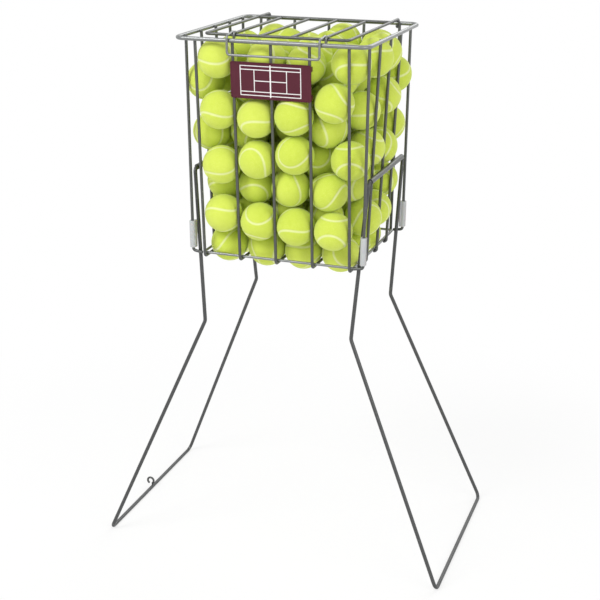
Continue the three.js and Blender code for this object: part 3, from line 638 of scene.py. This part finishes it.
def grip_hook_path():
    centre = on_grip(LEG_R + SEAT + HOOK_R + HOOK_RING_R)
    towards_bar = Vector((math.sin(HOOK_LEAN), 0, -math.cos(HOOK_LEAN)))
    inwards = Vector((math.cos(HOOK_LEAN), 0, math.sin(HOOK_LEAN)))
    return arc(
        centre, towards_bar * HOOK_RING_R, inwards * HOOK_RING_R, HOOK_TURN, HOOK_STEPS)


for side, side_name in SIDES:
    wire(f"{side_name}_leg", leg_path(side), LEG_R, leg_coat, f"{side_name}_leg", "leg_wire")
wire("grip_hook", grip_hook_path(), HOOK_R, leg_coat, "left_leg", "leg_wire")

# %% [markdown]
# The lid is a flat wire frame. It hooks round the rear of the rim at both ends, which is its
# hinge, and four bars are welded in between its front wire and a rear bar. A wire latch coils
# round the front wire, on the right of each outer bar, and drops over the rim, like the drop
# handle of a drawer. The hooks can slide along the rim, so the lid's middle is found from its
# CAD node.

# %% Lid
LID_R = 2.5
LID_HALF_WIDTH = 123
LID_FRONT_SETBACK = 20
LID_REAR_SETBACK = 50
LID_BEND = 9
LID_BAR_PITCH = 52.5
LID_BAR_COLUMNS = (-1.5, -0.5, 0.5, 1.5)
LID_HINGE_TURN = math.radians(235)
LID_HINGE_STEPS = 30
TURN_ROOM = 0.5

lid_hook = RIM_R + LID_R + TURN_ROOM
lid_z = RIM_HEIGHT + lid_hook
lid_front = LID_FRONT_SETBACK - RIM_HALF_DEPTH
lid_rear = RIM_HALF_DEPTH - LID_REAR_SETBACK
lid_low, lid_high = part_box("lid_frame")
lid_x = (lid_low.x + lid_high.x) / 2 / MM - MIDDLE.x / MM
bar_xs = [lid_x + column * LID_BAR_PITCH for column in LID_BAR_COLUMNS]


def lid_frame_path():
    def hinge(side):
        return arc((lid_x + side * LID_HALF_WIDTH, RIM_HALF_DEPTH, RIM_HEIGHT),
                   (0, 0, lid_hook), (0, lid_hook, 0), LID_HINGE_TURN, LID_HINGE_STEPS)
    front = [((lid_x + side * LID_HALF_WIDTH, lid_front, lid_z), LID_BEND) for side in (-1, 1)]
    return [*reversed(hinge(-1)), *front, *hinge(1)]


def level_bar(first, last):
    """A straight bar in the lid's plane, from one place to another."""
    return [((*first, lid_z), 0), ((*last, lid_z), 0)]


seat_in = LID_R + SEAT
bar_end = LID_HALF_WIDTH - seat_in
wire("lid_frame", lid_frame_path(), LID_R, dark_coat, "lid", "dark_wire")
wire("lid_rear_bar", level_bar((lid_x - bar_end, lid_rear), (lid_x + bar_end, lid_rear)), LID_R,
     dark_coat, "lid", "dark_wire")
for number, x in enumerate(bar_xs, 1):
    wire(f"lid_bar_{number}", level_bar((x, lid_front + seat_in), (x, lid_rear - seat_in)), LID_R,
         dark_coat, "lid", "dark_wire")

# %% Latch
BAIL_R = 2
BAIL_DROP = 22
BAIL_BEND = 5
COIL_TURNS = 1.3
COIL_PITCH = 4.4
COIL_STEPS = 40

coil_r = LID_R + BAIL_R + TURN_ROOM
left_arm_x = bar_xs[0] + coil_r
right_arm_x = bar_xs[-1] + coil_r


def coil(arm_x):
    """An end of the latch, coiled round the lid's front wire, from its tip to its arm."""
    stations = []
    for step in range(COIL_STEPS + 1):
        left = 1 - step / COIL_STEPS
        angle = 2 * math.pi * COIL_TURNS * left
        stations.append(((
            arm_x + COIL_PITCH * COIL_TURNS * left,
            lid_front + coil_r * math.sin(angle),
            lid_z + coil_r * math.cos(angle),
        ), 0))
    return stations


def bail_path():
    over = RIM_HEIGHT + RIM_R + BAIL_R + SEAT + BAIL_BEND / 2
    front = -RIM_HALF_DEPTH - RIM_R - BAIL_R - TURN_ROOM
    low = RIM_HEIGHT - BAIL_DROP
    corners = [(left_arm_x, over), (left_arm_x, low), (right_arm_x, low), (right_arm_x, over)]
    middle = [((x, front, height), BAIL_BEND) for x, height in corners]
    return [*coil(left_arm_x), *middle, *reversed(coil(right_arm_x))]


wire("lid_bail", bail_path(), BAIL_R, bright_coat, "latch", "bright_wire")

# %% [markdown]
# Where wires cross they are spot-welded, and the coat runs over a small bead of metal there. The
# beads are placed one by one in a jig in the factory, but here they are one scattered shape:
# Geometry Nodes set a small ball on each weld's point, each one a little different in size.

# %% Weld beads
BEAD_R = 1.9
BEAD_SPREAD = 0.2
BEAD_SUBDIVISIONS = 2
BEAD_SEED = 3


def bead_tree():
    tree, given = geometry_tree("weld beads", {
        "Bead radius": "NodeSocketFloat", "Spread": "NodeSocketFloat",
        "Seed": "NodeSocketInt", "Finish": "NodeSocketMaterial"})
    bead = tree.add("GeometryNodeMeshIcoSphere", {}, {
        "Radius": given["Bead radius"], "Subdivisions": BEAD_SUBDIVISIONS})
    size = tree.add("FunctionNodeRandomValue", {"data_type": "FLOAT"}, {
        "Min": 1 - given["Spread"], "Max": 1 + given["Spread"], "Seed": given["Seed"]})
    beads = tree.add("GeometryNodeInstanceOnPoints", {}, {
        "Points": given["Geometry"], "Instance": bead, "Scale": size})
    end_tree(tree, beads, given["Finish"])
    return tree


def points_mesh(name, points):
    mesh = bpy.data.meshes.new(name)
    mesh.from_pydata(points, [], [])
    return mesh


def basket_welds():
    """Points between the wires and the rim, and between the wires and the floor rail."""
    points = []
    slant = RAIL_R / math.sqrt(2)
    for y_side in (-1, 1):
        for column in BASKET_COLUMNS:
            x = column * BASKET_PITCH
            points.append((x, y_side * (wall_top_y + BASKET_R), RIM_HEIGHT))
            points.append((x, y_side * (rail_y + slant), rail_z - slant))
    for x_side in (-1, 1):
        for row in SIDE_ROWS:
            y = row * SIDE_PITCH
            points.append((x_side * (wall_top_x + BASKET_R), y, RIM_HEIGHT))
            if abs(row) < max(SIDE_ROWS):
                points.append((x_side * (rail_x + RAIL_R), y, rail_z))
                points.append((x_side * (wall_at(PIVOT_HEIGHT) + BASKET_R), y, PIVOT_HEIGHT))
    return points


def lid_welds():
    points = [(lid_x + side * (bar_end + SEAT), lid_rear, lid_z) for side in (-1, 1)]
    for x in bar_xs:
        points += [(x, lid_front + seat_in, lid_z), (x, lid_rear - seat_in / 2, lid_z + LID_R / 2)]
    return points


weld_beads = bead_tree()
for name, points, body in (
    ("basket_welds", basket_welds(), "basket"),
    ("lid_welds", lid_welds(), "lid"),
    ("grip_hook_weld", [on_grip(LEG_R)], "left_leg"),
):
    beads = run_tree(weld_beads, name, points_mesh(name, [placed(point) for point in points]), {
        "Bead radius": BEAD_R * MM, "Spread": BEAD_SPREAD, "Seed": BEAD_SEED,
        "Finish": dark_coat})
    stand_for(beads, body, "dark_wire")
    print(f"{name}: {len(points)} beads, {len(beads.data.polygons)} faces")

# %% [markdown]
# The corner clips and the plate are moulded plastic. Their shapes in the frame are right but
# knife-sharp, and a moulded edge never is. So each gets a copy of its own CAD mesh, with the
# loose triangles merged into flat faces and a small bevel run along every sharp edge.

# %% Soft edges for moulded parts
MERGE_DISTANCE = 0.002 * MM
FLAT_ANGLE = math.radians(1)
EDGE_ANGLE = math.radians(40)
EDGE_STEPS = 3
ROUND_PROFILE = 0.5


def softened(node, name, edge, finish, slot):
    """A copy of a CAD node with rounded edges, in the node's place."""
    builder = bmesh.new()
    builder.from_mesh(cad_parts[node].data)
    bmesh.ops.remove_doubles(builder, verts=builder.verts, dist=MERGE_DISTANCE)
    bmesh.ops.dissolve_limit(
        builder, angle_limit=FLAT_ANGLE, verts=builder.verts, edges=builder.edges)
    sharp = [found for found in builder.edges
             if len(found.link_faces) == 2 and found.calc_face_angle() > EDGE_ANGLE]
    bmesh.ops.bevel(
        builder, geom=sharp, offset=edge * MM, segments=EDGE_STEPS, profile=ROUND_PROFILE,
        affect="EDGES", clamp_overlap=True)
    mesh = bpy.data.meshes.new(name)
    builder.to_mesh(mesh)
    builder.free()
    mesh.materials.clear()
    mesh.materials.append(finish)
    smooth_by_angle(mesh)
    piece = bpy.data.objects.new(name, mesh)
    scene.collection.objects.link(piece)
    print(f"{name}: {len(sharp)} edges rounded to {edge} mm, {len(mesh.polygons)} faces")
    return stand_for(piece, "basket", slot, node)


# %% [markdown]
# Each clip is a sleeve of pale grey plastic on a corner wire, with a narrow rib behind it that a
# leg rubs along, so it is a little translucent and slightly scuffed. Fine noise in the roughness
# and a faint mottled tone are enough at its size.

# %% Corner clips
CLIP_GREY = (0.552, 0.552, 0.558)
CLIP_EDGE = 0.45
CLIP_GRAIN_SCALE = 2200
CLIP_GRAIN_HEIGHT = 0.03 * MM
CLIP_MOTTLE_SCALE = 90
CLIP_MOTTLE_DETAIL = 3
CLIP_MOTTLE_SHARE = 0.5
CLIP_RUB_SCALE = 350
CLIP_RUB_DETAIL = 4
CLIP_RUB_RANGE = (0.58, 0.75)
CLIP_RUB_SHARE = 0.3
CLIP_SHADE = 0.8
CLIP_ROUGHNESS = 0.42
CLIP_ROUGHNESS_SPREAD = 0.15


def clip_material():
    material, tree = new_material("pale moulded plastic")
    place = tree.add("ShaderNodeTexCoord")["Object"]
    mottle = tree.noise(place, CLIP_MOTTLE_SCALE, CLIP_MOTTLE_DETAIL)
    grain = tree.noise(place, CLIP_GRAIN_SCALE)
    rubbed = tree.smooth_step(
        tree.noise(place, CLIP_RUB_SCALE, CLIP_RUB_DETAIL), *CLIP_RUB_RANGE)
    darker = tuple(channel * CLIP_SHADE for channel in CLIP_GREY)
    shade = mottle * CLIP_MOTTLE_SHARE + rubbed * CLIP_RUB_SHARE
    finish_material(
        tree,
        Base_Color=tree.mix(shade, CLIP_GREY, darker),
        Roughness=(grain * CLIP_ROUGHNESS_SPREAD + CLIP_ROUGHNESS
                   + rubbed * CLIP_ROUGHNESS_SPREAD),
        Normal=tree.bump(grain, CLIP_GRAIN_HEIGHT),
        Subsurface_Weight=0.08)
    return material


clip_plastic = clip_material()
for _, side_name in SIDES:
    for end_name in ("front", "rear"):
        clip = f"{side_name}_{end_name}_clip"
        softened(clip, f"moulded_{clip}", CLIP_EDGE, clip_plastic, "clip_plastic")

# %% [markdown]
# The plate is a maroon moulding with a white print. The print here is a plain plan of a tennis
# court, which needs no picture: every line of it is the set of points at a given distance from
# the plate's middle, so it is drawn by the shader in the plate's own millimetres. A Mapping node
# turns the object's coordinates into those.

# %% Name plate
PLATE_TOP = 896
PLATE_HALF_HEIGHT = 30
PLATE_THICKNESS = 1.6
COURT_HALF_LENGTH = 52
COURT_HALF_WIDTH = 24
SINGLES_HALF_WIDTH = 18
SERVICE_LINE = 28
NET_HALF_WIDTH = 26.5
LINE_HALF_WIDTH = 0.7
NET_LINE_HALF_WIDTH = 1.1
PRINT_EDGE = 0.12
PRINT_DEPTH_RANGE = (0.3, 0.1)
PRINT_WHITE = (0.86, 0.85, 0.84)
DEEP_MAROON = (0.075, 0.011, 0.022)
LIGHT_MAROON = (0.100, 0.017, 0.031)
PLATE_EDGE = 0.4
PLATE_GRAIN_SCALE = 1800
PLATE_GRAIN_SHARE = 0.3
PLATE_RELIEF = 0.06 * MM
PLATE_TONE_SCALE = 60
PLATE_TONE_DETAIL = 3
PLATE_ROUGHNESS = 0.42
PLATE_ROUGHNESS_SPREAD = 0.1


def plate_coordinates(tree):
    """Across, up and out from the plate's middle, in millimetres."""
    middle_height = PLATE_TOP - PLATE_HALF_HEIGHT
    middle = placed((0, -front_at(middle_height), middle_height))
    turned = tree.add("ShaderNodeMapping", {"vector_type": "TEXTURE"}, {
        "Vector": tree.add("ShaderNodeTexCoord")["Object"],
        "Location": middle,
        "Rotation": (math.pi / 2 + math.atan(front_slope), 0, 0),
        "Scale": (MM, MM, MM)})
    parts = tree.add("ShaderNodeSeparateXYZ", {}, {"Vector": turned})
    return abs(parts["X"]), abs(parts["Y"]), parts["Z"]


def court_print(tree, across, up):
    """1 on the lines of a court, 0 beside them. Both halves and both sides are alike."""
    def band(value, centre, half_width):
        return 1 - tree.smooth_step(
            abs(value - centre), half_width - PRINT_EDGE, half_width + PRINT_EDGE)

    def within(value, limit):
        return 1 - tree.smooth_step(value, limit - PRINT_EDGE, limit + PRINT_EDGE)

    length = COURT_HALF_LENGTH + LINE_HALF_WIDTH
    width = COURT_HALF_WIDTH + LINE_HALF_WIDTH
    lines = [
        band(across, COURT_HALF_LENGTH, LINE_HALF_WIDTH) * within(up, width),
        band(up, COURT_HALF_WIDTH, LINE_HALF_WIDTH) * within(across, length),
        band(up, SINGLES_HALF_WIDTH, LINE_HALF_WIDTH) * within(across, length),
        band(across, SERVICE_LINE, LINE_HALF_WIDTH) * within(up, SINGLES_HALF_WIDTH),
        band(up, 0, LINE_HALF_WIDTH) * within(across, SERVICE_LINE),
        band(across, 0, NET_LINE_HALF_WIDTH) * within(up, NET_HALF_WIDTH),
    ]
    print_mask = lines[0]
    for line in lines[1:]:
        print_mask = tree.math("MAXIMUM", print_mask, line)
    return print_mask


def plate_material():
    material, tree = new_material("maroon plate with a printed court")
    across, up, out = plate_coordinates(tree)
    place = tree.add("ShaderNodeTexCoord")["Object"]
    face = BASKET_R + SEAT + PLATE_THICKNESS
    on_face = tree.smooth_step(out, *(face - depth for depth in PRINT_DEPTH_RANGE))
    printed = court_print(tree, across, up) * on_face
    grain = tree.noise(place, PLATE_GRAIN_SCALE)
    tone = tree.noise(place, PLATE_TONE_SCALE, PLATE_TONE_DETAIL)
    maroon = tree.mix(tone, DEEP_MAROON, LIGHT_MAROON)
    finish_material(
        tree,
        Base_Color=tree.mix(printed, maroon, PRINT_WHITE),
        Roughness=(grain * PLATE_ROUGHNESS_SPREAD + PLATE_ROUGHNESS
                   + printed * PLATE_ROUGHNESS_SPREAD),
        Specular_IOR_Level=0.25,
        Normal=tree.bump(grain * PLATE_GRAIN_SHARE + printed, PLATE_RELIEF))
    return material


softened("name_plate", "moulded_name_plate", PLATE_EDGE, plate_material(), "plate_plastic")

# %% [markdown]
# The balls. In the frame each pile is one faceted solid, so the balls' middles are found again
# from it: every whole facet of a ball has its three corners on the ball's sphere, so the middle
# lies under the facet's own centre at a known depth. Facets of one ball agree on the middle, and
# the cut facets, where two balls are joined, are outvoted.

# %% Find the middle of each ball
BALL_R = 32.83
VOTE_DISTANCE = 0.4
LEAST_VOTES = 4
LEAST_SQUARE = 1e-20


def facet_votes(mesh):
    """The ball's middle that each facet would give, as an array of points in metres."""
    mesh.calc_loop_triangles()
    places = np.array([vertex.co for vertex in mesh.vertices])
    corners = places[np.array([triangle.vertices for triangle in mesh.loop_triangles])]
    first = corners[:, 1] - corners[:, 0]
    second = corners[:, 2] - corners[:, 0]
    normal = np.cross(first, second)
    square = np.maximum((normal ** 2).sum(1, keepdims=True), LEAST_SQUARE)
    to_centre = (np.cross(normal, first) * (second ** 2).sum(1, keepdims=True)
                 + np.cross(second, normal) * (first ** 2).sum(1, keepdims=True)) / (2 * square)
    depth = np.sqrt(np.maximum((BALL_R * MM) ** 2 - (to_centre ** 2).sum(1, keepdims=True), 0))
    return corners[:, 0] + to_centre - normal / np.sqrt(square) * depth


def ball_middles(mesh):
    """The points that enough facets agree on."""
    votes = facet_votes(mesh)
    middles = []
    while len(votes):
        near = np.linalg.norm(votes - votes[0], axis=1) < VOTE_DISTANCE * MM
        if near.sum() >= LEAST_VOTES:
            middles.append(Vector(votes[near].mean(0)))
        votes = votes[~near]
    return middles


BALL_PILES = range(1, 8)
piles = {number: ball_middles(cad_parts[f"balls_{number}"].data) for number in BALL_PILES}
print("balls in each pile:", [len(middles) for middles in piles.values()])
print("balls in all:", sum(len(middles) for middles in piles.values()))

# %% [markdown]
# A ball's cover is two dog-bone pieces of felt, joined by one curved seam. The seam's line on the
# sphere has a short formula: it is where a cubic function of the direction is zero. Divided by
# its slope that gives the distance to the seam, so the shader can draw a clean line of any width
# at any size. Each ball remembers its own directions in an attribute, so the seam turns with it.

# %% Felt
SEAM_SPREAD = 0.69
SEAM_WAIST = 1 - SEAM_SPREAD
SEAM_HALF_WIDTH = 1.9
SEAM_EDGE = 1.2
SEAM_DEPTH = 0.5 * MM
SEAM_COVER = 0.6
SEAM_WHITE = (0.86, 0.90, 0.50)
FUZZ_SCALE = 30
FUZZ_DETAIL = 6
FUZZ_RANGE = (0.5, 0.75)
FUZZ_COVER = 0.5
FUZZ_HEIGHT = 0.45 * MM
FIBRE_PALE = (0.77, 0.85, 0.24)
MOTTLE_SCALE = 4
MOTTLE_DETAIL = 3
MOTTLE_SHARE = 0.5
FELT_GREEN = (0.55, 0.68, 0.055)
FELT_YELLOW = (0.69, 0.79, 0.115)
FELT_SHEEN = (0.94, 1.0, 0.68)
FELT_ROUGHNESS = 0.95
SEAM_SMOOTHNESS = 0.25


def seam_distance(tree, direction):
    """How far a point of the ball is from the seam, in millimetres."""
    crown = 2 * math.sqrt(SEAM_SPREAD * SEAM_WAIST)
    linear = (SEAM_SPREAD ** 2 - 2 * SEAM_SPREAD * SEAM_WAIST - 3 * SEAM_WAIST ** 2) / crown
    cubic = 4 * SEAM_WAIST ** 2 / crown ** 3
    parts = tree.add("ShaderNodeSeparateXYZ", {}, {"Vector": direction})
    x, y, z = parts["X"], parts["Y"], parts["Z"]
    value = x * y * 2 - z * linear - z ** 3 * cubic
    slope = tree.add("ShaderNodeCombineXYZ", {}, {
        "X": y * 2, "Y": x * 2, "Z": 0 - linear - z * z * (3 * cubic)})
    outward = tree.vector("DOT_PRODUCT", slope, direction)["Value"]
    steepness = tree.vector("DOT_PRODUCT", slope, slope)["Value"] - outward * outward
    return abs(value) / tree.math("SQRT", steepness) * BALL_R


def felt_material():
    material, tree = new_material("optic yellow felt")
    stored = tree.add("ShaderNodeAttribute", {"attribute_name": "felt_place"})["Vector"]
    tone = tree.add("ShaderNodeAttribute", {"attribute_name": "ball_tone"})["Fac"]
    direction = tree.vector("NORMALIZE", stored)
    distance = seam_distance(tree, direction)
    seam = 1 - tree.smooth_step(distance, SEAM_HALF_WIDTH - SEAM_EDGE, SEAM_HALF_WIDTH + SEAM_EDGE)
    fuzz = tree.noise(direction, FUZZ_SCALE, FUZZ_DETAIL)
    mottle = tree.noise(direction, MOTTLE_SCALE, MOTTLE_DETAIL)
    shade = tone * (1 - MOTTLE_SHARE) + mottle * MOTTLE_SHARE
    dyed = tree.mix(shade, FELT_GREEN, FELT_YELLOW)
    fibres = tree.mix(tree.smooth_step(fuzz, *FUZZ_RANGE) * FUZZ_COVER, dyed, FIBRE_PALE)
    height = fuzz * FUZZ_HEIGHT - seam * SEAM_DEPTH
    finish_material(
        tree,
        Base_Color=tree.mix(seam * SEAM_COVER, fibres, SEAM_WHITE),
        Roughness=FELT_ROUGHNESS - seam * SEAM_SMOOTHNESS,
        Sheen_Weight=0.35,
        Sheen_Roughness=0.45,
        Sheen_Tint=FELT_SHEEN,
        Normal=tree.bump(height, 1.0))
    return material


felt = felt_material()
print("the seam is", 2 * SEAM_HALF_WIDTH, "mm wide")

# %% [markdown]
# Now the balls are set in their places. Instancing keeps this light until the end: the tree makes
# one ball, stores each point's direction on it, copies it onto every middle with a turn of its
# own, and gives each copy a tone of its own, because no two balls fade alike.

# %% Balls
BALL_SUBDIVISIONS = 4


def ball_tree():
    tree, given = geometry_tree("pile of balls", {
        "Ball radius": "NodeSocketFloat", "Subdivisions": "NodeSocketInt",
        "Seed": "NodeSocketInt", "Finish": "NodeSocketMaterial"})
    ball = tree.add("GeometryNodeMeshIcoSphere", {}, {
        "Radius": given["Ball radius"], "Subdivisions": given["Subdivisions"]})
    marked = tree.add("GeometryNodeStoreNamedAttribute", {
        "data_type": "FLOAT_VECTOR", "domain": "POINT"}, {
        "Geometry": ball, "Name": "felt_place", "Value": tree.add("GeometryNodeInputPosition")})
    turn = tree.add("FunctionNodeRandomValue", {"data_type": "FLOAT_VECTOR"}, {
        "Min": (0, 0, 0), "Max": (2 * math.pi,) * 3, "Seed": given["Seed"]})
    copies = tree.add("GeometryNodeInstanceOnPoints", {}, {
        "Points": given["Geometry"], "Instance": marked,
        "Rotation": tree.add("FunctionNodeEulerToRotation", {}, {"Euler": turn})})
    tone = tree.add("FunctionNodeRandomValue", {"data_type": "FLOAT"}, {"Seed": given["Seed"]})
    toned = tree.add("GeometryNodeStoreNamedAttribute", {
        "data_type": "FLOAT", "domain": "INSTANCE"}, {
        "Geometry": copies, "Name": "ball_tone", "Value": tone})
    end_tree(tree, toned, given["Finish"])
    return tree


pile_of_balls = ball_tree()
for number, middles in piles.items():
    name = f"felt_balls_{number}"
    pile = run_tree(pile_of_balls, name, points_mesh(name, middles), {
        "Ball radius": BALL_R * MM, "Subdivisions": BALL_SUBDIVISIONS,
        "Seed": number, "Finish": felt})
    stand_for(pile, "basket", "ball_felt", f"balls_{number}")
    print(f"{name}: {len(middles)} balls, {len(pile.data.polygons)} faces")

# %% [markdown]
# The studio: a white floor and soft lamps. The floor has to look pure white and still hold the
# hopper's faint shadow, so near the object it is a mix of plain white and lit paint, and further
# out it is white alone. Only rays from the camera, and those that reflect in the wires, see that
# white, so it adds no light to the object.

# %% Floor and surroundings
FLOOR_SIZE = 30
FLOOR_FADE_START = 0.35
FLOOR_FADE_END = 1.1
FLOOR_WHITE_SHARE = 0.72
FLOOR_PAINT = (0.93, 0.93, 0.93)
PLAIN_WHITE = (1, 1, 1)
SKY_LIGHT = 0.55


def seen_directly(tree):
    """1 for rays from the camera, through glass or off gloss, and 0 for soft light."""
    path = tree.add("ShaderNodeLightPath")
    seen = tree.math("MAXIMUM", path["Is Camera Ray"], path["Is Glossy Ray"])
    return tree.math("MAXIMUM", seen, path["Is Transmission Ray"])


def floor_material():
    material, tree = new_material("white floor")
    place = tree.add("ShaderNodeTexCoord")["Object"]
    reach = tree.vector("LENGTH", place)["Value"]
    far = tree.smooth_step(reach, FLOOR_FADE_START, FLOOR_FADE_END)
    share = far * (1 - FLOOR_WHITE_SHARE) + FLOOR_WHITE_SHARE
    paint = tree.add("ShaderNodeBsdfDiffuse", {}, {"Color": FLOOR_PAINT})
    white = tree.add("ShaderNodeEmission", {}, {"Color": PLAIN_WHITE, "Strength": 1.0})
    mixed = tree.add("ShaderNodeMixShader", {}, {
        "Fac": share * seen_directly(tree), 1: paint, 2: white})
    tree.add("ShaderNodeOutputMaterial", {}, {"Surface": mixed})
    return material


floor_mesh = bpy.data.meshes.new("floor")
half = FLOOR_SIZE / 2
floor_corners = [(-half, -half, 0), (half, -half, 0), (half, half, 0), (-half, half, 0)]
floor_mesh.from_pydata(floor_corners, [], [(0, 1, 2, 3)])
floor_mesh.materials.append(floor_material())
floor = bpy.data.objects.new("floor", floor_mesh)
scene.collection.objects.link(floor)

world = bpy.data.worlds.new("studio")
world.use_nodes = True
world.node_tree.nodes.clear()
sky = Tree(world.node_tree)
brightness = seen_directly(sky) * (1 - SKY_LIGHT) + SKY_LIGHT
background = sky.add("ShaderNodeBackground", {}, {"Color": PLAIN_WHITE, "Strength": brightness})
sky.add("ShaderNodeOutputWorld", {}, {"Surface": background})
scene.world = world
print("soft light from all round:", SKY_LIGHT)

# %% Lamps
LAMP_AIM = Vector((0, 0, 0.62))


def lamp(name, place, size, power):
    """A soft square lamp that looks at the middle of the hopper."""
    light = bpy.data.lights.new(name, "AREA")
    light.size = size
    light.energy = power
    light_object = bpy.data.objects.new(name, light)
    light_object.location = place
    light_object.rotation_euler = (LAMP_AIM - Vector(place)).to_track_quat("-Z", "Y").to_euler()
    scene.collection.objects.link(light_object)
    print(f"{name}: {power} W over {size} m")


lamp("key_lamp", (-1.4, -2.2, 2.9), 1.6, 62)
lamp("fill_lamp", (2.4, -1.6, 1.7), 2.0, 26)
lamp("back_lamp", (0.6, 2.2, 2.4), 1.8, 24)
